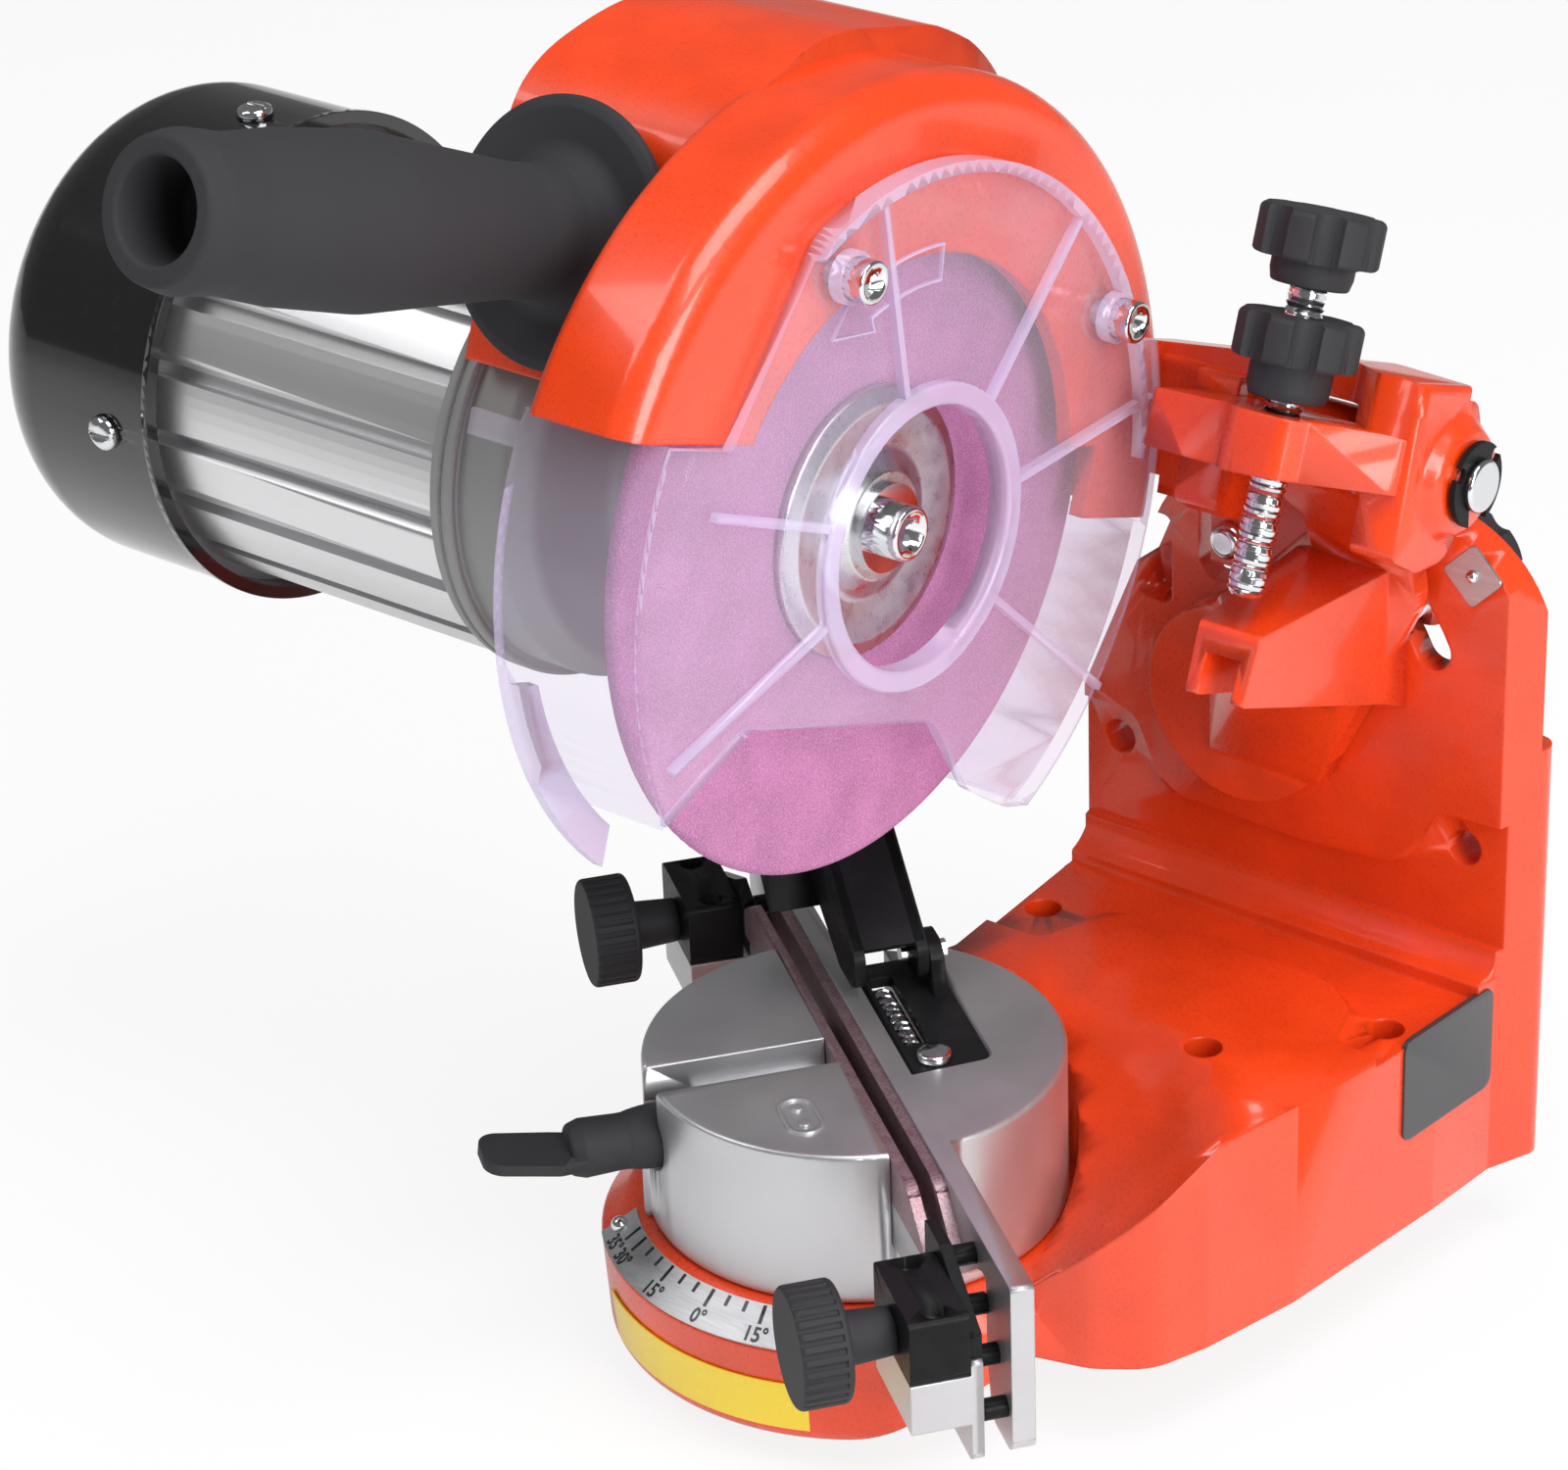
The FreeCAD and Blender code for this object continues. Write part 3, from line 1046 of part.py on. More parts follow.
def lock_knob():
    knob = star(15.5, 3.0, 7, 12.8, 25.5, "z", (STOP_X, SCREW_Y, 0))
    neck = lathe("z", (STOP_X, SCREW_Y, 0), [(0, 7.1), (8.8, 7.1), (9.8, 9), (9.8, 13.3),
                                             (0, 13.3)], [0, 0.8, 0, 0, 0])
    body = fuse(knob, neck)
    body = body.cut(rod(SCREW_R + FIT, (STOP_X, SCREW_Y, 0), (STOP_X, SCREW_Y, 30)))
    return in_head(body)


def tray_room():
    """The open underside, with its ribs, bolt bosses and centre boss left standing."""
    room = slab("z", DRUM_BOTTOM_Z - 1, PLATE_Z - SKIN - 1,
                plan(SKIN, WALL_BACK_Y - 3), [3, 0, 0, 4, 6, 9, 9, 3, 3, 3, 3, 0, 3])
    room = fuse(room, rod(DRUM_FOOT_R - SKIN, (0, 0, DRUM_BOTTOM_Z - 1), (0, 0, SEAT_Z - 6)))
    room = room.cut(dish(6.0, 4.5))
    keep = [rod(14, (0, 0, -4), (0, 0, SEAT_Z))]
    for x, y in bench_holes():
        keep.append(taper(8.5, 9.5, (x, y, 0), (x, y, PLATE_Z)))
    keep.append(box(BOLT_MID_X - 2, BOLT_MID_X + 2, 10, WALL_BACK_Y, 8, PLATE_Z))
    keep.append(box(-40, 110, BOLT_MID_Y - 2, BOLT_MID_Y + 2, 14, PLATE_Z))
    return cut(room, *keep)


def wall_room():
    """The open back of the upright, with the bolt bosses and two ribs left standing."""
    room = slab("y", WALL_Y + 6.0, WALL_BACK_Y + 1,
                [(-12, PLATE_Z), (-10, 82), (14, WALL_TOP_Z - 4),
                 (86, WALL_TOP_Z - 4), (86, PLATE_Z)], [3, 14, 20, 25, 3])
    for x in wall_holes():
        room = room.cut(taper(9.0, 8.5, (x, WALL_Y, WALL_HOLE_Z),
                              (x, WALL_BACK_Y + 2, WALL_HOLE_Z)))
    for x in (BOLT_MID_X - 14, BOLT_MID_X + 11):
        room = room.cut(box(x, x + 3, WALL_Y, WALL_BACK_Y - 5, 30, 84))
    return room.cut(rod(11, (TILT_X, WALL_Y, TILT_Z), (TILT_X, WALL_Y + 9, TILT_Z)))


def clamp_slot():
    """Arc slot round the tilt pivot, for the stud of the tilt clamp."""
    half = 4.3
    spread = TILT_RANGE + 1.5
    arc = lathe("y", (TILT_X, 0, TILT_Z), [(CLAMP_R - half, WALL_Y - 1), (CLAMP_R + half, WALL_Y - 1),
                                           (CLAMP_R + half, WALL_Y + 7),
                                           (CLAMP_R - half, WALL_Y + 7)], 0, 2 * spread)
    arc.rotate(Vector(TILT_X, 0, TILT_Z), AXES["y"], -CLAMP_ANGLE - spread)
    out = [arc]
    for a in (CLAMP_ANGLE - spread, CLAMP_ANGLE + spread):
        x = TILT_X + CLAMP_R * math.cos(math.radians(a))
        z = TILT_Z + CLAMP_R * math.sin(math.radians(a))
        out.append(rod(half, (x, WALL_Y - 1, z), (x, WALL_Y + 7, z)))
    return out


def windows():
    """Two openings left of the tilting leaf."""
    left = slab("y", WALL_Y - 1, WALL_Y + 8, [(-3, 112), (6, 111), (6, 132), (0, 132),
                                              (-3, 127)], [2.5, 2.5, 2.5, 2, 2])
    right = slab("y", WALL_Y - 1, WALL_Y + 8, [(12.8, 139), (12.8, 124), (15.5, 120.5),
                                               (25, 120.5), (25, 124.4), (16, 124.4), (16, 139)],
                 [1.4, 1, 1, 1.4, 1.4, 0.5, 1.4])
    return [left, right]


def table_knob():
    """Lock knob under the drum."""
    knob = star(17.0, 3.0, 6, -18.0, -8.0, "z", (0, 0, 0))
    neck = rod(9.0, (0, 0, -8.5), (0, 0, -6.05))
    return fuse(knob, neck).cut(rod(PIVOT_R + FIT, (0, 0, -19), (0, 0, 0)))


def stop_pin():
    z = TABLE_Z + 6
    return on_table(rod(2.0, (-22, 16.5, z), (-22, 26.4, z)))


def tilt_stud():
    """Stud pressed in the leaf, and the washer behind the wall."""
    stud = rod(4.0, (CLAMP_X, LEAF_Y + 1.5, CLAMP_Z), (CLAMP_X, WALL_Y + 30, CLAMP_Z))
    washer = tube(7.5, 4.0, (CLAMP_X, WALL_Y + 6.05, CLAMP_Z), (CLAMP_X, WALL_Y + 7.5, CLAMP_Z))
    return Part.makeCompound([stud, washer])


def tilt_knob():
    """Star knob behind the wall that clamps the support."""
    y = WALL_Y + 7.55
    knob = star(12.0, 2.2, 6, y + 9, y + 19, "y", (CLAMP_X, 0, CLAMP_Z))
    neck = rod(7.0, (CLAMP_X, y, CLAMP_Z), (CLAMP_X, y + 9.5, CLAMP_Z))
    return fuse(knob, neck).cut(rod(4.0 + FIT, (CLAMP_X, y - 1, CLAMP_Z),
                                    (CLAMP_X, y + 30, CLAMP_Z)))


def e_clip():
    """Spring clip in the groove of the pin."""
    x = LUG_OUT + 1.05
    clip = tube(8.8, PIN_R - 1.15, (x, PIN_Y, PIN_Z), (x + 1.2, PIN_Y, PIN_Z))
    clip = clip.cut(box(x - 1, x + 2, PIN_Y - 3.2, PIN_Y + 3.2, PIN_Z - 12, PIN_Z))
    for s in (-1, 1):
        clip = clip.cut(rod(1.6, (x - 1, PIN_Y + s * 6.4, PIN_Z + 4.2),
                            (x + 2, PIN_Y + s * 6.4, PIN_Z + 4.2)))
    return clip


def arm_pieces():
    """Arm from the hood to the hinge: web, screw shelf, two lugs and the pin boss."""
    web = slab("z", -6, 19, [(HOOD_FRONT - 6, -9), (60, -9), (68.5, -16.5), (80, -16.5), (80, 2),
                             (60, 7), (HOOD_FRONT - 6, 7)], [0, 3, 3, 2, 2, 3, 0])
    crown = slab("y", -30, 20, [(0, -30), (0, 11.2), (HOOD_FRONT, 12.6), (58, 18.4), (80, 18.4),
                                (80, -30)], [0, 0, 3, 3, 2, 0])
    web = web.common(crown)
    shelf = slab("z", -6, 7, [(HOOD_FRONT - 6, -27), (44, -30), (48, -34), (60, -34), (63, -30),
                              (78, -17), (78, -6), (HOOD_FRONT - 6, -6)],
                 [0, 3, 4, 4, 3, 3, 0, 0])
    tilt = slab("y", -50, 20, [(0, -6.5), (0, 4.5), (44, 6.8), (80, 9.5), (80, -4.0),
                               (50, -5.8)], [0, 0, 3, 0, 0, 3])
    shelf = shelf.common(tilt)
    lug = slab("x", LUG_IN, 80, [(-16.5, 12), (4, 16), (9, 8), (9.5, -6), (4, -17), (-6, -19.5),
                                 (-16.5, -17)], [0, 4, 5, 6, 6, 5, 2])
    ear = slab("x", EAR_OUT, EAR_IN, [(-14, 10), (4, 12), (9, 8), (9.5, -6), (4, -17),
                                      (-6, -19.5), (-14, -17)], [0, 4, 5, 6, 6, 5, 3])
    neck = slab("x", HOOD_FRONT - 6, EAR_OUT, [(-9, 10), (4, 10), (8, -6), (4, -15), (-9, -15)],
                [0, 3, 5, 5, 3])
    boss = taper(13.5, 10.0, (80 - 0.5, 0, 0), (LUG_OUT, 0, 0))
    return [web, shelf, lug, ear, neck, boss]


# ================================================================ build
def build():
    save("base_casting", base_casting())
    save("angle_scale", angle_scale())
    save("scale_rivets", scale_rivets())
    save("tilt_scale", tilt_scale())
    save("side_plate", side_plate())
    save("wall_button", wall_button())
    save("tilt_pivot", tilt_pivot())
    save("pivot_stud", pivot_stud())
    save("table_knob", table_knob())
    save("turntable", turntable())
    left, right = rails()
    save("rail_left", left)
    save("rail_right", right)
    save("rollers", rollers())
    save("moving_jaw", moving_jaw())
    save("jaw_plates", on_table(Part.makeCompound([jaw_plate(1), jaw_plate(-1)])))
    save("end_blocks", on_table(Part.makeCompound([end_block(1), end_block(-1)])))
    save("end_screws", on_table(Part.makeCompound(end_screw(1) + end_screw(-1))))
    save("knob_front", on_table(end_knob(1)))
    save("knob_rear", on_table(end_knob(-1)))
    save("clamp_lever", clamp_lever())
    save("clamp_bolt", clamp_bolt())
    save("stop_bracket", stop_bracket())
    save("stop_screw", stop_screw())
    save("stop_spring", stop_spring())
    save("stop_arm", stop_arm())
    save("stop_pin", stop_pin())
    save("tilt_support", tilt_support())
    save("tilt_stud", tilt_stud())
    save("tilt_knob", tilt_knob())
    save("hinge_pin", hinge_pin())
    save("e_clip", e_clip())
    save("head_casting", head_casting())
    save("guard", guard())
    save("guard_bolts", guard_bolts())
    save("handle", handle())
    save("handle_stud", handle_stud())
    save("motor_bracket", motor_bracket())
    save("motor_housing", motor_housing())
    save("motor_cap", motor_cap())
    save("motor_shield", motor_shield())
    save("cap_screws", cap_screws())
    save("stator", stator())
    save("windings", windings())
    save("bearings", bearings())
    save("rotor", rotor())
    save("shaft", shaft())
    save("fan", fan())
    save("back_flange", back_flange())
    save("grinding_wheel", grinding_wheel())
    save("front_flange", front_flange())
    save("wheel_bolt", wheel_bolt())
    save("capacitor", capacitor())
    save("switch_body", switch_body())
    save("rocker", rocker())
    save("cord_gland", cord_gland())
    save("depth_screw", depth_screw())
    save("depth_knob", depth_knob())
    save("lock_knob", lock_knob())


os.makedirs("parts", exist_ok=True)
build()
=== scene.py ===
"""Looks of a bench chain grinder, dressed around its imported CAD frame."""

import json
import logging
import math
from collections.abc import Callable
from dataclasses import dataclass, field
from enum import Enum

import bmesh
import bpy
from mathutils import Matrix, Vector


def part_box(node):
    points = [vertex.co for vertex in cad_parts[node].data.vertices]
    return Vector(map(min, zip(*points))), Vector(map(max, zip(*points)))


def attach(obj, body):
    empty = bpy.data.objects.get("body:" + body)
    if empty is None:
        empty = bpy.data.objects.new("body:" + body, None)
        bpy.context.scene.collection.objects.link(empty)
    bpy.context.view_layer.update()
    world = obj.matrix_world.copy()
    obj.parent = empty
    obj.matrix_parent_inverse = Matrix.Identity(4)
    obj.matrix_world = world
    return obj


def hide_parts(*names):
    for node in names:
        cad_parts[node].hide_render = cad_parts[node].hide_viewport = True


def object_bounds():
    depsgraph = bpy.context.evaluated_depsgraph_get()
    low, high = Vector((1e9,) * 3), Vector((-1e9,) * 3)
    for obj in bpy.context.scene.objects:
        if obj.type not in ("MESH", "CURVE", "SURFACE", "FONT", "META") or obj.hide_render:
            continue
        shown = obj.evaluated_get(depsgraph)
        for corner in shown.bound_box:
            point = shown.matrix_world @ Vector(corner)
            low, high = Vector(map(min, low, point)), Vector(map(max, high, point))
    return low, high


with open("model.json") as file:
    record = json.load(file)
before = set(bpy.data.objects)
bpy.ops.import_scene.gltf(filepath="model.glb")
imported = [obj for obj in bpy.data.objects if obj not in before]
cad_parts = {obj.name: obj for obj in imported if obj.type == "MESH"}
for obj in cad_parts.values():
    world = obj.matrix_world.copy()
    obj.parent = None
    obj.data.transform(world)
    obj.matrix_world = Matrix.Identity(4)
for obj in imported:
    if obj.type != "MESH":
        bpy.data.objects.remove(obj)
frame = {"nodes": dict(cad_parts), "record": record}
CAD_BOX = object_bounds()

LOG = logging.getLogger("chain_grinder")
MM = 0.001
SMOOTH_BELOW = math.radians(32.0)
MERGE_DISTANCE = 2e-6
SUNK = 0.2
HEAD_LIFT = math.radians(-20.0)
TABLE_TURN = math.radians(-35.5)

Colour = tuple[float, float, float]
Spot = tuple[float, float]
Stops = list[tuple[float, float]] | tuple[tuple[float, float], ...]


class Axis(Enum):
    """Directions that a pattern or a repeat can follow."""

    X = 0
    Y = 1
    Z = 2


# ============================================================ shader maths
class Wire:
    """A socket of a shader tree that Python's operators extend with Math nodes."""

    def __init__(self, recipe: "Recipe", socket: bpy.types.NodeSocket) -> None:
        """Args: recipe: the tree's builder. socket: the output that this wire carries."""
        self.recipe = recipe
        self.socket = socket

    def __add__(self, other: "Wire | float") -> "Wire":
        """Sum of two values."""
        return self.recipe.math("ADD", self, other)

    def __radd__(self, other: float) -> "Wire":
        """Sum with a number on the left."""
        return self.recipe.math("ADD", other, self)

    def __sub__(self, other: "Wire | float") -> "Wire":
        """Difference of two values."""
        return self.recipe.math("SUBTRACT", self, other)

    def __rsub__(self, other: float) -> "Wire":
        """Difference from a number on the left."""
        return self.recipe.math("SUBTRACT", other, self)

    def __mul__(self, other: "Wire | float") -> "Wire":
        """Product of two values."""
        return self.recipe.math("MULTIPLY", self, other)

    def __rmul__(self, other: float) -> "Wire":
        """Product with a number on the left."""
        return self.recipe.math("MULTIPLY", other, self)

    def __pow__(self, other: float) -> "Wire":
        """Power of a value."""
        return self.recipe.math("POWER", self, other)


class Recipe:
    """Builds one material's node tree."""

    def __init__(self, name: str) -> None:
        """Args: name: the material's name."""
        self.material = bpy.data.materials.new(name)
        self.material.use_nodes = True
        self.tree = self.material.node_tree
        self.tree.nodes.clear()

    def node(
        self,
        kind: str,
        settings: dict[str, object] | None = None,
        inputs: dict[str | int, object] | None = None,
    ) -> bpy.types.Node:
        """Adds a node, sets it up, then fills or links its sockets.

        Args:
            kind: the node's type name.
            settings: attributes to set first; "stops" fills a colour ramp.
            inputs: socket name or index to a value or a Wire.

        Returns:
            The new node.
        """
        made = self.tree.nodes.new(kind)
        for key, value in (settings or {}).items():
            if key == "stops":
                self._fill_ramp(made, value)
            else:
                setattr(made, key, value)
        for key, value in (inputs or {}).items():
            socket = made.inputs[key]
            if isinstance(value, Wire):
                self.tree.links.new(value.socket, socket)
            elif socket.type == "RGBA" and len(value) == 3:
                socket.default_value = (*value, 1.0)
            else:
                socket.default_value = value
        return made

    @staticmethod
    def _fill_ramp(node: bpy.types.Node, stops: list[tuple[float, float]]) -> None:
        """Gives a ramp its grey stops.

        Args:
            node: the ramp.
            stops: positions with their levels.
        """
        elements = node.color_ramp.elements
        while len(elements) < len(stops):
            elements.new(0.5)
        for element, (position, level) in zip(elements, stops):
            element.position = position
            element.color = (level, level, level, 1.0)

    def wire(self, node: bpy.types.Node, output: str | int = 0) -> Wire:
        """An output of a node as a Wire."""
        return Wire(self, node.outputs[output])

    def math(self, operation: str, a: Wire | float, b: Wire | float = 0.0) -> Wire:
        """A Math node.

        Args:
            operation: the node's operation.
            a: first value.
            b: second value.

        Returns:
            The result's Wire.
        """
        made = self.node("ShaderNodeMath", {"operation": operation}, {0: a, 1: b})
        return self.wire(made)

    def spot(self, stretch: tuple[float, float, float] = (1.0, 1.0, 1.0)) -> Wire:
        """Object coordinates, stretched along the axes."""
        place = self.wire(self.node("ShaderNodeTexCoord"), "Object")
        mapping = self.node("ShaderNodeMapping", None, {"Vector": place, "Scale": stretch})
        return self.wire(mapping)

    def noise(
        self,
        scale: float,
        detail: float = 3.0,
        stretch: tuple[float, float, float] = (1.0, 1.0, 1.0),
    ) -> Wire:
        """Noise of a scale per metre.

        Args:
            scale: features per metre.
            detail: octaves.
            stretch: factors on the axes.

        Returns:
            The noise value.
        """
        made = self.node(
            "ShaderNodeTexNoise",
            None,
            {"Vector": self.spot(stretch), "Scale": scale, "Detail": detail, "Roughness": 0.55},
        )
        return self.wire(made, 0)

    def cells(self, scale: float) -> Wire:
        """Distance to the nearest random point, for grains."""
        made = self.node("ShaderNodeTexVoronoi", None, {"Vector": self.spot(), "Scale": scale})
        return self.wire(made, 0)

    def ramp(self, value: Wire, stops: list[tuple[float, float]]) -> Wire:
        """A value reshaped by (position, level) stops."""
        made = self.node("ShaderNodeValToRGB", {"stops": stops}, {0: value})
        return self.wire(made)

    def mix(self, factor: Wire | float, a: Colour | Wire, b: Colour | Wire) -> Wire:
        """A colour between two colours."""
        made = self.node("ShaderNodeMix", {"data_type": "RGBA"}, {0: factor, 6: a, 7: b})
        return self.wire(made, 2)

    def rounded(self, radius: float) -> Wire:
        """A normal that rounds sharp edges by a radius in metres."""
        made = self.node("ShaderNodeBevel", {"samples": 6}, {"Radius": radius})
        return self.wire(made)

    def bump(self, height: Wire, depth: float, normal: Wire | None = None) -> Wire:
        """A normal that follows a height.

        Args:
            height: the height, from 0 to 1.
            depth: metres between the height's 0 and 1.
            normal: the normal to start from.

        Returns:
            The normal's Wire.
        """
        inputs = {"Height": height, "Distance": depth, "Strength": 1.0}
        if normal is not None:
            inputs["Normal"] = normal
        return self.wire(self.node("ShaderNodeBump", None, inputs))

    def surface(self, **sockets: object) -> bpy.types.Node:
        """A Principled shader; keywords are its socket names with _ for spaces."""
        named = {key.replace("_", " "): value for key, value in sockets.items()}
        return self.node("ShaderNodeBsdfPrincipled", None, named)

    def finish(self, shader: bpy.types.Node) -> bpy.types.Material:
        """Puts a shader on the output and returns the material."""
        self.node("ShaderNodeOutputMaterial", None, {"Surface": self.wire(shader)})
        return self.material


# ============================================================ finishes
@dataclass(frozen=True)
class Finish:
    """What a surface is made of; its material is built once and shared."""

    name: str
    colour: Colour
    roughness: float = 0.4
    edge_mm: float = 0.3

    def material(self) -> bpy.types.Material:
        """The shared material of this finish."""
        return bpy.data.materials.get(self.name) or self.build(Recipe(self.name))

    def build(self, recipe: Recipe) -> bpy.types.Material:
        """Builds the material in a fresh tree.

        Args:
            recipe: the fresh tree to fill.

        Returns:
            The finished material.
        """
        normal = recipe.bump(recipe.noise(900.0), 0.00001, recipe.rounded(self.edge_mm * MM))
        shader = recipe.surface(
            Base_Color=self.colour, Roughness=self.roughness, Normal=normal
        )
        return recipe.finish(shader)


@dataclass(frozen=True)
class PowderCoat(Finish):
    """Glossy thick paint over a sand casting."""

    dip_mm: float = 0.14
    peel_mm: float = 0.012

    def build(self, recipe: Recipe) -> bpy.types.Material:
        """Slow dips of the casting under a fine orange peel.

        Args:
            recipe: the fresh tree to fill.

        Returns:
            The finished material.
        """
        slow = recipe.noise(55.0, 2.0)
        peel = recipe.noise(1100.0, 2.0)
        normal = recipe.bump(slow, self.dip_mm * MM, recipe.rounded(self.edge_mm * MM))
        normal = recipe.bump(peel, self.peel_mm * MM, normal)
        deep = tuple(c * 0.86 for c in self.colour)
        colour = recipe.mix(recipe.ramp(slow, [(0.35, 0.0), (0.65, 1.0)]), deep, self.colour)
        rough = recipe.ramp(peel, [(0.3, self.roughness * 0.8), (0.7, self.roughness * 1.25)])
        shader = recipe.surface(
            Base_Color=colour, Roughness=rough, Normal=normal, Coat_Weight=0.55,
            Coat_Roughness=0.07,
        )
        return recipe.finish(shader)


@dataclass(frozen=True)
class SatinCasting(Finish):
    """Die casting under silver lacquer."""

    metallic: float = 0.85

    def build(self, recipe: Recipe) -> bpy.types.Material:
        """Cloudy lacquer with a slight grain.

        Args:
            recipe: the fresh tree to fill.

        Returns:
            The finished material.
        """
        cloud = recipe.noise(45.0, 4.0)
        grain = recipe.noise(2600.0, 2.0)
        normal = recipe.bump(grain, 0.000018, recipe.rounded(self.edge_mm * MM))
        normal = recipe.bump(cloud, 0.00008, normal)
        pale = tuple(min(1.0, c * 1.12) for c in self.colour)
        colour = recipe.mix(recipe.ramp(cloud, [(0.3, 0.0), (0.7, 1.0)]), self.colour, pale)
        rough = recipe.ramp(cloud, [(0.3, self.roughness), (0.75, self.roughness + 0.12)])
        shader = recipe.surface(
            Base_Color=colour, Metallic=self.metallic, Roughness=rough, Normal=normal
        )
        return recipe.finish(shader)


@dataclass(frozen=True)
class BrushedMetal(Finish):
    """Metal with fine lines along one axis."""

    along: Axis = Axis.X
    depth_mm: float = 0.012

    def build(self, recipe: Recipe) -> bpy.types.Material:
        """Streaks that change colour, roughness and height together.

        Args:
            recipe: the fresh tree to fill.

        Returns:
            The finished material.
        """
        stretch = [1.0, 1.0, 1.0]
        stretch[self.along.value] = 0.012
        lines = recipe.noise(2400.0, 4.0, tuple(stretch))
        broad = recipe.noise(300.0, 2.0, tuple(stretch))
        normal = recipe.bump(lines, self.depth_mm * MM, recipe.rounded(self.edge_mm * MM))
        dark = tuple(c * 0.78 for c in self.colour)
        streak = recipe.ramp(lines * 0.6 + broad * 0.4, [(0.35, 0.0), (0.65, 1.0)])
        colour = recipe.mix(streak, dark, self.colour)
        rough = recipe.ramp(broad, [(0.3, self.roughness), (0.7, self.roughness + 0.14)])
        shader = recipe.surface(
            Base_Color=colour, Metallic=1.0, Roughness=rough, Normal=normal
        )
        return recipe.finish(shader)


@dataclass(frozen=True)
class PlatedSteel(Finish):
    """Bright zinc or nickel on small steel parts."""

    def build(self, recipe: Recipe) -> bpy.types.Material:
        """Bright metal with a faint cloud of fingerprints.

        Args:
            recipe: the fresh tree to fill.

        Returns:
            The finished material.
        """
        cloud = recipe.noise(500.0, 3.0)
        normal = recipe.bump(cloud, 0.00001, recipe.rounded(self.edge_mm * MM))
        dull = tuple(c * 0.8 for c in self.colour)
        colour = recipe.mix(cloud, dull, self.colour)
        rough = recipe.ramp(cloud, [(0.3, self.roughness), (0.7, self.roughness + 0.15)])
        shader = recipe.surface(
            Base_Color=colour, Metallic=1.0, Roughness=rough, Normal=normal
        )
        return recipe.finish(shader)


@dataclass(frozen=True)
class MouldedPlastic(Finish):
    """Black plastic or rubber with a spark-eroded mould grain."""

    grain_mm: float = 0.02
    grain_scale: float = 1500.0

    def build(self, recipe: Recipe) -> bpy.types.Material:
        """A fine grain, with greyer scuffs where hands and benches rub.

        Args:
            recipe: the fresh tree to fill.

        Returns:
            The finished material.
        """
        grain = recipe.noise(self.grain_scale, 3.0)
        scuff = recipe.ramp(recipe.noise(90.0, 5.0), [(0.52, 0.0), (0.75, 1.0)])
        normal = recipe.bump(grain, self.grain_mm * MM, recipe.rounded(self.edge_mm * MM))
        grey = tuple(c * 1.5 + 0.004 for c in self.colour)
        colour = recipe.mix(scuff * 0.6, self.colour, grey)
        rough = recipe.ramp(grain, [(0.3, self.roughness - 0.05), (0.7, self.roughness + 0.08)])
        shader = recipe.surface(
            Base_Color=colour, Roughness=rough, Normal=normal, Specular_IOR_Level=0.1
        )
        return recipe.finish(shader)


@dataclass(frozen=True)
class GlossEnamel(Finish):
    """Deep gloss paint on pressed sheet."""

    def build(self, recipe: Recipe) -> bpy.types.Material:
        """A clear coat over slightly wavy sheet.

        Args:
            recipe: the fresh tree to fill.

        Returns:
            The finished material.
        """
        wave = recipe.noise(28.0, 2.0)
        normal = recipe.bump(wave, 0.00012, recipe.rounded(self.edge_mm * MM))
        dust = recipe.ramp(recipe.noise(700.0, 4.0), [(0.55, 0.0), (0.8, 1.0)])
        colour = recipe.mix(dust * 0.3, self.colour, (0.03, 0.03, 0.032))
        shader = recipe.surface(
            Base_Color=colour, Roughness=self.roughness, Normal=normal, Coat_Weight=0.6,
            Coat_Roughness=0.03,
        )
        return recipe.finish(shader)


@dataclass(frozen=True)
class RoughCasting(Finish):
    """Unpainted metal as it comes out of the mould."""

    def build(self, recipe: Recipe) -> bpy.types.Material:
        """Coarse sandy grain with dull metal between.

        Args:
            recipe: the fresh tree to fill.

        Returns:
            The finished material.
        """
        grain = recipe.noise(1300.0, 4.0)
        normal = recipe.bump(grain, 0.00009, recipe.rounded(self.edge_mm * MM))
        dark = tuple(c * 0.6 for c in self.colour)
        colour = recipe.mix(recipe.ramp(grain, [(0.35, 0.0), (0.65, 1.0)]), dark, self.colour)
        shader = recipe.surface(
            Base_Color=colour, Metallic=0.7, Roughness=self.roughness, Normal=normal
        )
        return recipe.finish(shader)


@dataclass(frozen=True)
class ClearPlastic(Finish):
    """Thin clear polycarbonate with a lilac cast, with painted shade that makes it darker and more solid
    along its cut edges and ribs.
    """

    see_through: Colour = (0.965, 0.945, 0.985)
    face_weight: float = 0.1
    shaded_edge_weight: float = 0.38
    edge_layer: str = "edge"

    def build(self, recipe: Recipe) -> bpy.types.Material:
        """Tinted see-through sheet whose grazing faces turn solid, and whose ribs and cut edges turn solid
        and darker lilac as painted shade.

        Args:
            recipe: the fresh tree to fill.

        Returns:
            The finished material.
        """
        facing = recipe.wire(recipe.node("ShaderNodeLayerWeight", None, {"Blend": 0.5}), "Facing")
        layer = recipe.node("ShaderNodeAttribute", {"attribute_name": self.edge_layer})
        edge = recipe.wire(layer, "Fac")
        haze = recipe.ramp(recipe.noise(35.0, 3.0), [(0.4, 0.0), (0.8, 1.0)])
        # Ribs and cut edges (the edge layer) turn more solid and darker lilac: painted shade for the dark
        # lines that refraction draws along them.
        weight = facing ** 4.0 * 0.45 + haze * 0.015 + edge * self.shaded_edge_weight + self.face_weight
        clear = recipe.node("ShaderNodeBsdfTransparent", None, {"Color": self.see_through})
        # deep is the darker lilac of that painted shade on ribs and cut edges.
        deep = tuple(c * f for c, f in zip(self.colour, (0.82, 0.76, 0.92)))
        gloss = recipe.surface(
            Base_Color=recipe.mix(edge, self.colour, deep), Roughness=self.roughness,
            Specular_IOR_Level=0.8, Coat_Weight=0.5, Coat_Roughness=0.02,
        )
        both = recipe.node(
            "ShaderNodeMixShader", None,
            {0: weight, 1: recipe.wire(clear), 2: recipe.wire(gloss)},
        )
        return recipe.finish(both)


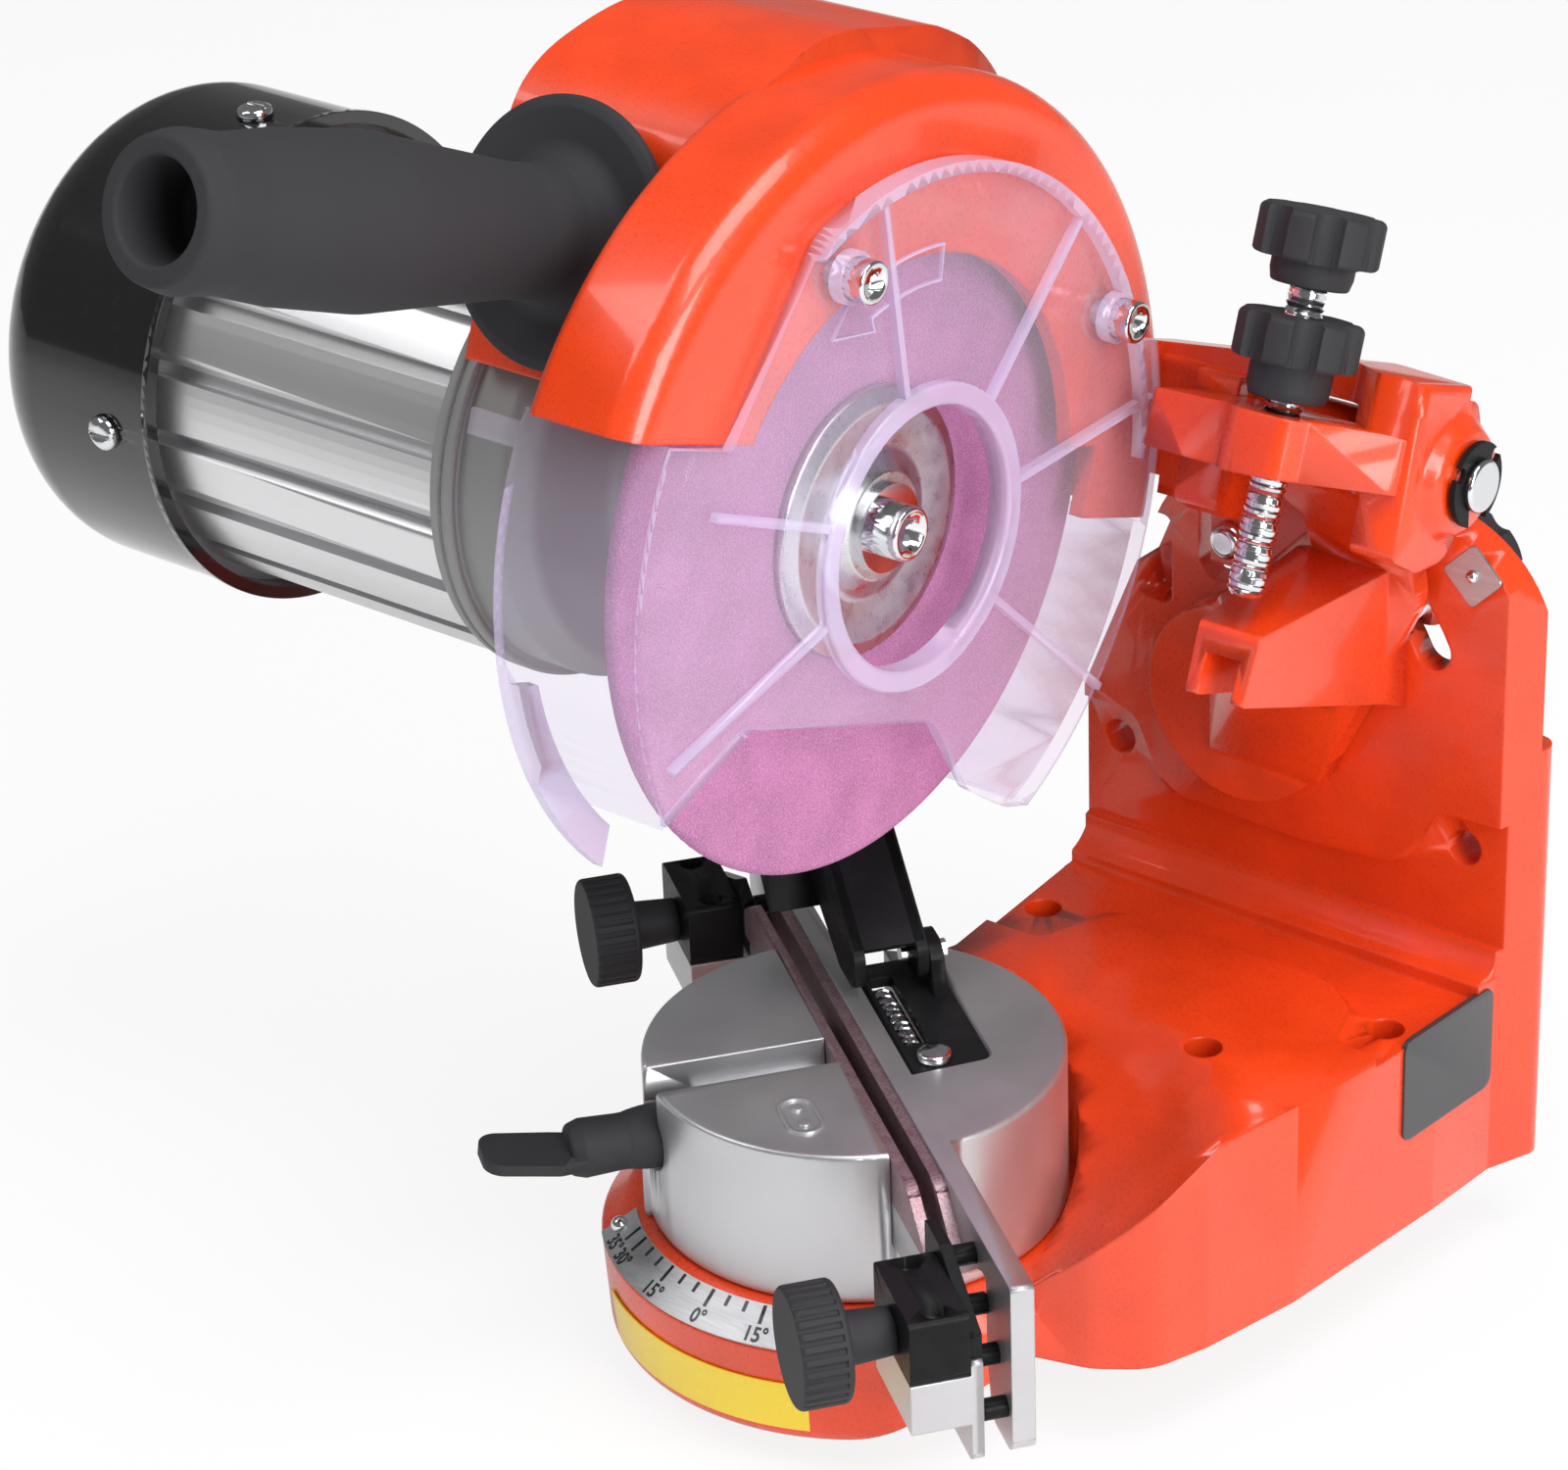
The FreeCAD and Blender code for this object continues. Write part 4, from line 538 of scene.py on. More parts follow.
@dataclass(frozen=True)
class AbrasiveStone(Finish):
    """Vitrified pink corundum."""

    grain_scale: float = 1900.0

    def build(self, recipe: Recipe) -> bpy.types.Material:
        """Bright and dark grains in a chalky bond, with painted shade in the crevices between the grains.

        Args:
            recipe: the fresh tree to fill.

        Returns:
            The finished material.
        """
        grain = recipe.cells(self.grain_scale)
        fine = recipe.noise(self.grain_scale * 1.4, 3.0)
        cloud = recipe.noise(60.0, 4.0)
        deep = tuple(c * 0.62 for c in self.colour)
        pale = tuple(min(1.0, c * 1.25 + 0.05) for c in self.colour)
        body = recipe.mix(recipe.ramp(cloud, [(0.3, 0.0), (0.7, 1.0)]), self.colour, deep)
        speck = recipe.ramp(fine, [(0.42, 0.0), (0.66, 1.0)])
        colour = recipe.mix(speck * 0.75, body, pale)
        # Darker in the crevices between grains, where the bump is lowest: painted shade; deep serves both
        # the random cloud and this shade.
        crevice_shade = recipe.ramp(grain, [(0.35, 0.0), (0.7, 1.0)])
        colour = recipe.mix(crevice_shade * 0.4, colour, deep)
        normal = recipe.bump(1.0 - grain, 0.00022, recipe.rounded(self.edge_mm * MM))
        shader = recipe.surface(Base_Color=colour, Roughness=self.roughness, Normal=normal)
        return recipe.finish(shader)


@dataclass(frozen=True)
class GroundRail(Finish):
    """Hardened rail whose top shows coarse grinding."""

    def build(self, recipe: Recipe) -> bpy.types.Material:
        """Speckled brown and steel grey.

        Args:
            recipe: the fresh tree to fill.

        Returns:
            The finished material.
        """
        grain = recipe.noise(2200.0, 4.0)
        patch = recipe.noise(260.0, 4.0)
        rust = tuple(c * f for c, f in zip(self.colour, (0.75, 0.5, 0.52)))
        mask = recipe.ramp(grain * 0.7 + patch * 0.3, [(0.4, 0.0), (0.6, 1.0)])
        colour = recipe.mix(mask, self.colour, rust)
        normal = recipe.bump(grain, 0.00004, recipe.rounded(self.edge_mm * MM))
        shader = recipe.surface(
            Base_Color=colour, Metallic=0.8, Roughness=self.roughness, Normal=normal
        )
        return recipe.finish(shader)


@dataclass(frozen=True)
class Print(Finish):
    """Screen-printed ink or a plain film, with a little wear."""

    def build(self, recipe: Recipe) -> bpy.types.Material:
        """Nearly flat colour with faint rubbed spots.

        Args:
            recipe: the fresh tree to fill.

        Returns:
            The finished material.
        """
        rub = recipe.ramp(recipe.noise(800.0, 4.0), [(0.5, 0.0), (0.8, 1.0)])
        lighter = tuple(min(1.0, c * 1.1 + 0.01) for c in self.colour)
        colour = recipe.mix(rub * 0.6, self.colour, lighter)
        normal = recipe.bump(rub, 0.000008)
        shader = recipe.surface(
            Base_Color=colour, Roughness=self.roughness, Normal=normal, Coat_Weight=0.4,
            Coat_Roughness=0.15,
        )
        return recipe.finish(shader)


ORANGE = PowderCoat("orange_powder_coat", (0.82, 0.055, 0.006), 0.3, 0.9)
SILVER = SatinCasting("silver_lacquer", (0.56, 0.56, 0.575), 0.34, 0.5)
SCALE = BrushedMetal("scale_aluminium", (0.7, 0.7, 0.72), 0.42, 0.05, Axis.X, 0.004)
BADGE = Print("dark_grey_film", (0.035, 0.037, 0.041), 0.4)
ZINC = PlatedSteel("bright_zinc", (0.78, 0.79, 0.81), 0.18, 0.15)
RAIL = GroundRail("ground_rail", (0.42, 0.33, 0.36), 0.45, 0.2)
BLACK_OXIDE = MouldedPlastic("black_oxide", (0.011, 0.011, 0.012), 0.36, 0.3, 0.01, 900.0)
BLACK_PLASTIC = MouldedPlastic("black_plastic", (0.006, 0.006, 0.007), 0.36, 0.5)
GRIP = MouldedPlastic("black_grip", (0.005, 0.005, 0.006), 0.36, 0.6, 0.03, 1100.0)
ENAMEL = GlossEnamel("black_enamel", (0.006, 0.006, 0.007), 0.12, 0.4)
FINS = BrushedMetal("fin_aluminium", (0.74, 0.74, 0.76), 0.3, 0.25, Axis.X, 0.02)
CASTING = RoughCasting("grey_casting", (0.36, 0.36, 0.36), 0.55, 0.5)
CLEAR = ClearPlastic("clear_polycarbonate", (0.86, 0.82, 0.93), 0.06)
STONE = AbrasiveStone("pink_corundum", (0.56, 0.22, 0.44), 0.92, 0.8)
TURNED = BrushedMetal("turned_aluminium", (0.72, 0.72, 0.74), 0.24, 0.3, Axis.X, 0.004)
STEEL = BrushedMetal("ground_steel", (0.6, 0.6, 0.62), 0.25, 0.1, Axis.X, 0.004)
CORE = BrushedMetal("stacked_laminations", (0.3, 0.3, 0.32), 0.45, 0.1, Axis.Y, 0.02)
COPPER = PlatedSteel("varnished_copper", (0.7, 0.3, 0.12), 0.3, 0.2)
INK = Print("black_ink", (0.01, 0.01, 0.011), 0.45)
YELLOW = Print("yellow_film", (0.9, 0.66, 0.02), 0.3)

SLOT_FINISH: dict[str, Finish] = {
    "orange_paint": ORANGE,
    "silver_casting": SILVER,
    "scale_plate": SCALE,
    "plain_badge": BADGE,
    "bright_zinc": ZINC,
    "rail_steel": RAIL,
    "black_steel": BLACK_OXIDE,
    "black_plastic": BLACK_PLASTIC,
    "black_grip": GRIP,
    "black_gloss": ENAMEL,
    "fin_aluminium": FINS,
    "grey_casting": CASTING,
    "clear_guard": CLEAR,
    "pink_stone": STONE,
    "flange_aluminium": TURNED,
    "bearing_steel": STEEL,
    "core_steel": CORE,
    "copper_wire": COPPER,
}


# ============================================================ geometry graphs
class Graph:
    """Builds one Geometry Nodes tree with named inputs."""

    def __init__(self, name: str) -> None:
        """Args: name: the tree's name."""
        self.tree = bpy.data.node_groups.new(name, "GeometryNodeTree")
        self.tree.interface.new_socket("Geometry", in_out="OUTPUT", socket_type="NodeSocketGeometry")
        self.entry: bpy.types.Node | None = None

    def want(self, name: str, kind: str, default: object = None) -> None:
        """Declares a named input.

        Args:
            name: the input's name.
            kind: its socket type.
            default: its value unless the piece sets one.
        """
        socket = self.tree.interface.new_socket(name, in_out="INPUT", socket_type=kind)
        if default is not None:
            socket.default_value = default

    def get(self, name: str) -> bpy.types.NodeSocket:
        """The socket inside the tree that carries a named input."""
        if self.entry is None:
            self.entry = self.tree.nodes.new("NodeGroupInput")
        return self.entry.outputs[name]

    def node(
        self,
        kind: str,
        settings: dict[str, object] | None = None,
        inputs: dict[str | int, object] | None = None,
    ) -> bpy.types.Node:
        """Adds a node with its settings and its sockets' values or links.

        Args:
            kind: the node's type name.
            settings: attributes to set first.
            inputs: socket name or index to a value or a socket.

        Returns:
            The new node.
        """
        made = self.tree.nodes.new(kind)
        for key, value in (settings or {}).items():
            setattr(made, key, value)
        for key, value in (inputs or {}).items():
            if isinstance(value, bpy.types.NodeSocket):
                self.tree.links.new(value, made.inputs[key])
            else:
                made.inputs[key].default_value = value
        return made

    def math(self, operation: str, a: object, b: object) -> bpy.types.NodeSocket:
        """A Math node's result."""
        return self.node("ShaderNodeMath", {"operation": operation}, {0: a, 1: b}).outputs[0]

    def close(self, geometry: bpy.types.NodeSocket) -> bpy.types.NodeTree:
        """Ends the tree in Realize Instances and Set Material.

        Args:
            geometry: the shape that the tree has made.

        Returns:
            The whole tree.
        """
        real = self.node("GeometryNodeRealizeInstances", None, {0: geometry})
        dressed = self.node(
            "GeometryNodeSetMaterial", None, {"Geometry": real.outputs[0], "Material": self.get("Finish")}
        )
        out = self.tree.nodes.new("NodeGroupOutput")
        self.tree.links.new(dressed.outputs[0], out.inputs[0])
        return self.tree


def ring_graph() -> bpy.types.NodeTree:
    """Copies of one object turned about Z by equal steps."""
    graph = Graph("ring_of_copies")
    graph.want("Source", "NodeSocketObject")
    graph.want("Count", "NodeSocketInt", 4)
    graph.want("Start", "NodeSocketFloat", 0.0)
    graph.want("Step", "NodeSocketFloat", 0.1)
    graph.want("Finish", "NodeSocketMaterial")
    line = graph.node("GeometryNodeMeshLine", None, {"Count": graph.get("Count"), "Offset": (0.0, 0.0, 0.0)})
    index = graph.node("GeometryNodeInputIndex")
    turned = graph.math("MULTIPLY", index.outputs[0], graph.get("Step"))
    angle = graph.math("ADD", turned, graph.get("Start"))
    turn = graph.node("ShaderNodeCombineXYZ", None, {2: angle})
    source = graph.node("GeometryNodeObjectInfo", None, {0: graph.get("Source")})
    copies = graph.node(
        "GeometryNodeInstanceOnPoints",
        None,
        {"Points": line.outputs[0], "Instance": source.outputs["Geometry"], "Rotation": turn.outputs[0]},
    )
    return graph.close(copies.outputs[0])


def helix_graph() -> bpy.types.NodeTree:
    """A wire or a thread ridge along a helix about Z."""
    graph = Graph("helix_of_wire")
    graph.want("Turns", "NodeSocketFloat", 8.0)
    graph.want("Radius", "NodeSocketFloat", 0.004)
    graph.want("Height", "NodeSocketFloat", 0.03)
    graph.want("Steps", "NodeSocketInt", 24)
    graph.want("Wire", "NodeSocketFloat", 0.0005)
    graph.want("Sides", "NodeSocketInt", 8)
    graph.want("Finish", "NodeSocketMaterial")
    spiral = graph.node(
        "GeometryNodeCurveSpiral",
        None,
        {
            "Resolution": graph.get("Steps"),
            "Rotations": graph.get("Turns"),
            "Start Radius": graph.get("Radius"),
            "End Radius": graph.get("Radius"),
            "Height": graph.get("Height"),
        },
    )
    ring = graph.node(
        "GeometryNodeCurvePrimitiveCircle",
        None,
        {"Resolution": graph.get("Sides"), "Radius": graph.get("Wire")},
    )
    skin = graph.node(
        "GeometryNodeCurveToMesh",
        None,
        {"Curve": spiral.outputs[0], "Profile Curve": ring.outputs[0], "Fill Caps": True},
    )
    return graph.close(skin.outputs[0])


# ============================================================ mesh tools
def keep_object(mesh: bpy.types.Mesh, name: str) -> bpy.types.Object:
    """Links a mesh as a new object at the origin."""
    made = bpy.data.objects.new(name, mesh)
    bpy.context.scene.collection.objects.link(made)
    return made


def smooth(mesh: bpy.types.Mesh, angle: float = SMOOTH_BELOW) -> None:
    """Shades a mesh smooth except over edges sharper than an angle."""
    mesh.shade_smooth()
    mesh.set_sharp_from_angle(angle=angle)


def mesh_from(build: bmesh.types.BMesh, name: str) -> bpy.types.Mesh:
    """Turns a BMesh with outward faces into a mesh and frees it."""
    bmesh.ops.recalc_face_normals(build, faces=build.faces)
    mesh = bpy.data.meshes.new(name)
    build.to_mesh(mesh)
    build.free()
    return mesh


def finish_piece(
    piece: bpy.types.Object, body: str, finish: Finish, slot: str, *replaced: str
) -> bpy.types.Object:
    """Dresses a piece and hangs it on its body.

    Args:
        piece: the new object.
        body: the CAD body it moves with.
        finish: its finish.
        slot: the record's material slot; not used.
        replaced: CAD nodes that it stands for.

    Returns:
        The same object.
    """
    piece.data.materials.clear()
    piece.data.materials.append(finish.material())
    for polygon in piece.data.polygons:
        polygon.material_index = 0
    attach(piece, body)
    if replaced:
        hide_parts(*replaced)
    return piece


def grow(name: str, tree: bpy.types.NodeTree, values: dict[str, object]) -> bpy.types.Object:
    """Runs a Geometry Nodes tree and keeps its result as a plain mesh.

    Args:
        name: the piece's name.
        tree: the tree to run.
        values: named inputs of the tree.

    Returns:
        The object with the plain mesh and no modifier.
    """
    host = keep_object(bpy.data.meshes.new(name + "_host"), name + "_host")
    modifier = host.modifiers.new("grow", "NODES")
    modifier.node_group = tree
    for item in tree.interface.items_tree:
        if item.in_out == "INPUT" and item.name in values:
            modifier[item.identifier] = values[item.name]
    host.update_tag()
    graph = bpy.context.evaluated_depsgraph_get()
    mesh = bpy.data.meshes.new_from_object(host.evaluated_get(graph))
    host.modifiers.remove(modifier)
    bpy.data.objects.remove(host)
    mesh.name = name
    return keep_object(mesh, name)


def settle_normals(piece: bpy.types.Object) -> None:
    """Weights a piece's normals by face area, so that flats stay flat beside fillets.

    Args:
        piece: the piece, whose mesh is exchanged.
    """
    modifier = piece.modifiers.new("weight", "WEIGHTED_NORMAL")
    modifier.keep_sharp = True
    graph = bpy.context.evaluated_depsgraph_get()
    mesh = bpy.data.meshes.new_from_object(piece.evaluated_get(graph))
    piece.modifiers.remove(modifier)
    rough, piece.data = piece.data, mesh
    bpy.data.meshes.remove(rough)


def rounded_outline(points: list[Spot], radii: list[float], steps: int = 6) -> list[Spot]:
    """A closed outline with its corners rounded.

    Args:
        points: the corners in order.
        radii: one radius for each corner.
        steps: divisions of each rounded corner.

    Returns:
        The points of the rounded outline.
    """
    out = []
    for i, (point, radius) in enumerate(zip(points, radii)):
        here = Vector(point)
        before = Vector(points[i - 1]) - here
        after = Vector(points[(i + 1) % len(points)]) - here
        half = before.angle(after) / 2
        if radius <= 0 or math.pi / 2 - half < 0.01:
            out.append(tuple(here))
            continue
        reach = min(radius / math.tan(half), 0.499 * before.length, 0.499 * after.length)
        r = reach * math.tan(half)
        before.normalize()
        after.normalize()
        centre = here + (before + after).normalized() * (r / math.sin(half))
        first = here + before * reach - centre
        last = here + after * reach - centre
        start = math.atan2(first.y, first.x)
        sweep = (math.atan2(last.y, last.x) - start + math.pi) % (2 * math.pi) - math.pi
        for k in range(steps + 1):
            t = start + sweep * k / steps
            out.append((centre.x + r * math.cos(t), centre.y + r * math.sin(t)))
    return out


def prism_mesh(
    name: str, axis: Axis, span: Spot, loop: list[Spot], bevel: float = 0.0
) -> bpy.types.Mesh:
    """An outline in mm pushed along one axis, with its two rims rounded.

    Args:
        name: the mesh's name.
        axis: the direction of the push.
        span: where it starts and ends, in mm.
        loop: the outline in the other two axes, in x, y, z order.
        bevel: radius of the rims, in mm.

    Returns:
        The closed mesh.
    """
    build = bmesh.new()
    rings = []
    for level in span:
        ring = []
        for point in loop:
            place = list(point)
            place.insert(axis.value, level)
            ring.append(build.verts.new(Vector(place) * MM))
        rings.append(ring)
    caps = [build.faces.new(ring) for ring in rings]
    for i in range(len(loop)):
        j = (i + 1) % len(loop)
        build.faces.new((rings[0][i], rings[0][j], rings[1][j], rings[1][i]))
    if bevel > 0:
        rims = list({edge for cap in caps for edge in cap.edges})
        bmesh.ops.bevel(
            build, geom=rims, offset=bevel * MM, segments=5, affect="EDGES", profile=0.5,
            clamp_overlap=True,
        )
    return mesh_from(build, name)


def joined_mesh(name: str, parts: list[bpy.types.Mesh]) -> bpy.types.Mesh:
    """Several meshes as one.

    Args:
        name: the mesh's name.
        parts: the meshes.

    Returns:
        The joined mesh.
    """
    build = bmesh.new()
    for part in parts:
        build.from_mesh(part)
    mesh = bpy.data.meshes.new(name)
    build.to_mesh(mesh)
    build.free()
    return mesh


def respaced(value: float, stops: Stops) -> float:
    """A distance carried from old stops to new ones, evenly between them.

    Args:
        value: the distance.
        stops: old distances with their new ones, in rising order.

    Returns:
        The new distance.
    """
    if value <= stops[0][0]:
        return value + stops[0][1] - stops[0][0]
    for (low, to_low), (high, to_high) in zip(stops, stops[1:]):
        if value <= high:
            return to_low + (value - low) * (to_high - to_low) / (high - low)
    return value + stops[-1][1] - stops[-1][0]


def slimmed(point: Vector, axis: Axis, centre: Spot, core: float, factor: float) -> Vector:
    """A point drawn towards an axis, except where it lies in the core.

    Args:
        point: the point, in mm.
        axis: direction of the axis.
        centre: where the axis crosses the other two directions.
        core: radius that stays as it is.
        factor: share that is kept of what lies outside the core.

    Returns:
        The moved point.
    """
    others = [i for i in range(3) if i != axis.value]
    away = Vector((point[others[0]] - centre[0], point[others[1]] - centre[1]))
    if away.length <= core:
        return point
    away *= (core + (away.length - core) * factor) / away.length
    out = point.copy()
    out[others[0]] = centre[0] + away.x
    out[others[1]] = centre[1] + away.y
    return out


def turned_mesh(name: str, profile: list[tuple[float, float]], steps: int = 48) -> bpy.types.Mesh:
    """A profile of (radius, height) spun about Z and closed at its ends.

    Args:
        name: the mesh's name.
        profile: points from one end on the axis to the other.
        steps: divisions of the turn.

    Returns:
        The closed mesh.
    """
    build = bmesh.new()
    rings = []
    for radius, height in profile:
        if radius < 1e-7:
            rings.append([build.verts.new((0.0, 0.0, height))])
            continue
        ring = []
        for i in range(steps):
            a = 2 * math.pi * i / steps
            ring.append(build.verts.new((radius * math.cos(a), radius * math.sin(a), height)))
        rings.append(ring)
    for lower, upper in zip(rings, rings[1:]):
        for i in range(steps):
            j = (i + 1) % steps
            corners = [lower[i % len(lower)], lower[j % len(lower)], upper[j % len(upper)],
                       upper[i % len(upper)]]
            unique = list(dict.fromkeys(corners))
            if len(unique) > 2:
                build.faces.new(unique)
    return mesh_from(build, name)


# ============================================================ the machine
class Places:
    """Datum points and directions, all worked out from the CAD frame."""

    def __init__(self) -> None:
        """Reads the boxes of the nodes that fix each axis."""
        self.vise = self.middle("pivot_stud")
        self.pin = self.middle("hinge_pin")
        self.hub = self.middle("grinding_wheel")
        self.lift = Matrix.Rotation(HEAD_LIFT, 4, "X")
        self.table_turn = Matrix.Rotation(TABLE_TURN, 4, "Z")

    @staticmethod
    def middle(node: str) -> Vector:
        """Centre of a node's box."""
        low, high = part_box(node)
        return (low + high) / 2

    def head_frame(self) -> Matrix:
        """Matrix from the level head's own frame, on the hinge pin's axis, to the row frame."""
        return Matrix.Translation((self.vise.x, self.pin.y, self.pin.z)) @ self.lift

    def hub_frame(self) -> Matrix:
        """Matrix from the level head's frame, on the wheel's axis, to the row frame."""
        return Matrix.Translation((self.vise.x, self.hub.y, self.hub.z)) @ self.lift

    def vise_frame(self) -> Matrix:
        """Matrix from the vise's own (along the rails, across, up) to the row frame."""
        return Matrix.Translation((self.vise.x, self.vise.y, 0.0)) @ self.table_turn


class SubAssembly:
    """Shared ways of dressing one group of pieces."""

    def __init__(self, places: Places) -> None:
        """Args: places: the datum points."""
        self.places = places
        self.rows = frame["record"]["subparts"]
        self.bodies = frame["record"]["behaviour"]["bodies"]

    def slot_of(self, node: str) -> str:
        """Material slot that the record gives a node."""
        return next(row["material_slot"] for row in self.rows if row["node"] == node)

    def body_of(self, node: str) -> str:
        """Body that carries a node."""
        return next(body for body, nodes in self.bodies.items() if node in nodes)

    def dress(self, *nodes: str) -> None:
        """Gives CAD nodes that stay as they are their slot's finish."""
        for node in nodes:
            shown = frame["nodes"][node]
            shown.data.materials.clear()
            shown.data.materials.append(SLOT_FINISH[self.slot_of(node)].material())
            LOG.info("dressed %s", node)

    def recast(self, *nodes: str) -> list[bpy.types.Object]:
        """Replaces CAD nodes by merged copies that shade smoothly.

        Args:
            nodes: names of the nodes.

        Returns:
            The new pieces.
        """
        made = []
        for node in nodes:
            made.append(self.keep_cast(node, self.merged(node)))
        return made

    @staticmethod
    def merged(node: str) -> bmesh.types.BMesh:
        """A CAD node's mesh with its loose triangles joined up."""
        build = bmesh.new()
        build.from_mesh(frame["nodes"][node].data)
        bmesh.ops.remove_doubles(build, verts=build.verts, dist=MERGE_DISTANCE)
        return build

    def keep_cast(self, node: str, build: bmesh.types.BMesh) -> bpy.types.Object:
        """Puts a joined-up mesh in a CAD node's place.

        Args:
            node: the node that it stands for.
            build: the mesh, which is freed.

        Returns:
            The new piece.
        """
        mesh = bpy.data.meshes.new(node + "_cast")
        build.to_mesh(mesh)
        build.free()
        smooth(mesh)
        piece = keep_object(mesh, node + "_cast")
        settle_normals(piece)
        slot = self.slot_of(node)
        LOG.info("recast %s", node)
        return finish_piece(piece, self.body_of(node), SLOT_FINISH[slot], slot, node)

    def reshape(
        self, node: str, place: Matrix, change: Callable[[Vector], Vector]
    ) -> bpy.types.Object:
        """Replaces a CAD node by a copy whose points are moved by a rule.

        Args:
            node: the node.
            place: matrix from the rule's own frame to the row frame.
            change: the rule, from a point in mm to a point in mm.

        Returns:
            The new piece.
        """
        build = self.merged(node)
        back = place.inverted()
        for vertex in build.verts:
            vertex.co = place @ (change((back @ vertex.co) / MM) * MM)
        return self.keep_cast(node, build)

    def add(
        self, mesh: bpy.types.Mesh, name: str, body: str, finish: Finish, slot: str, *replaced: str
    ) -> bpy.types.Object:
        """Adds a new smooth piece made of a mesh in place.

        Args:
            mesh: the piece's mesh.
            name: the piece's name.
            body: the CAD body it moves with.
            finish: its finish.
            slot: the record's material slot.
            replaced: CAD nodes that it stands for.

        Returns:
            The new piece.
        """
        smooth(mesh)
        piece = finish_piece(keep_object(mesh, name), body, finish, slot, *replaced)
        LOG.info("made %s", name)
        return piece


@dataclass
class ScaleSizes:
    """Angle scale on its cone, in mm."""

    inner_r: float = 46.3
    outer_r: float = 53.8
    inner_z: float = 15.8
    outer_z: float = 10.7
    proud: float = 0.62
    short: tuple[float, float] = (46.6, 48.6)
    long: tuple[float, float] = (46.6, 50.0)
    tick_width: float = 0.8
    digit_r: float = 51.5
    digit_height: float = 2.8
    digit_swell: float = 0.09
    type_size: float = 1.35
    ink: float = 0.02
    tick_proud: float = 0.03
    baseline: float = 1.7
    crowd_deg: float = 1.3
    step_deg: float = 5.0
    span_deg: float = 35.0


@dataclass
class BadgeSizes:
    """Bare plate on the right flank, in mm about the vise axis."""

    centre: tuple[float, float, float] = (87.65, 88.0, 34.0)
    half_length: float = 15.5
    half_height: float = 12.0
    corner: float = 2.5
    depth: Spot = (-0.8, 0.5)
    rim: float = 0.15
    turn_deg: float = -3.6


@dataclass
class FilmSizes:
    """Plain film round the drum, in mm and degrees."""

    radius: float = 54.02
    foot_radius: float = 52.86
    low_z: float = -8.5
    high_z: float = 3.0
    start_deg: float = -124.0
    end_deg: float = -63.0
    thickness: float = 0.12
    sunk: float = 0.3
    steps: int = 48


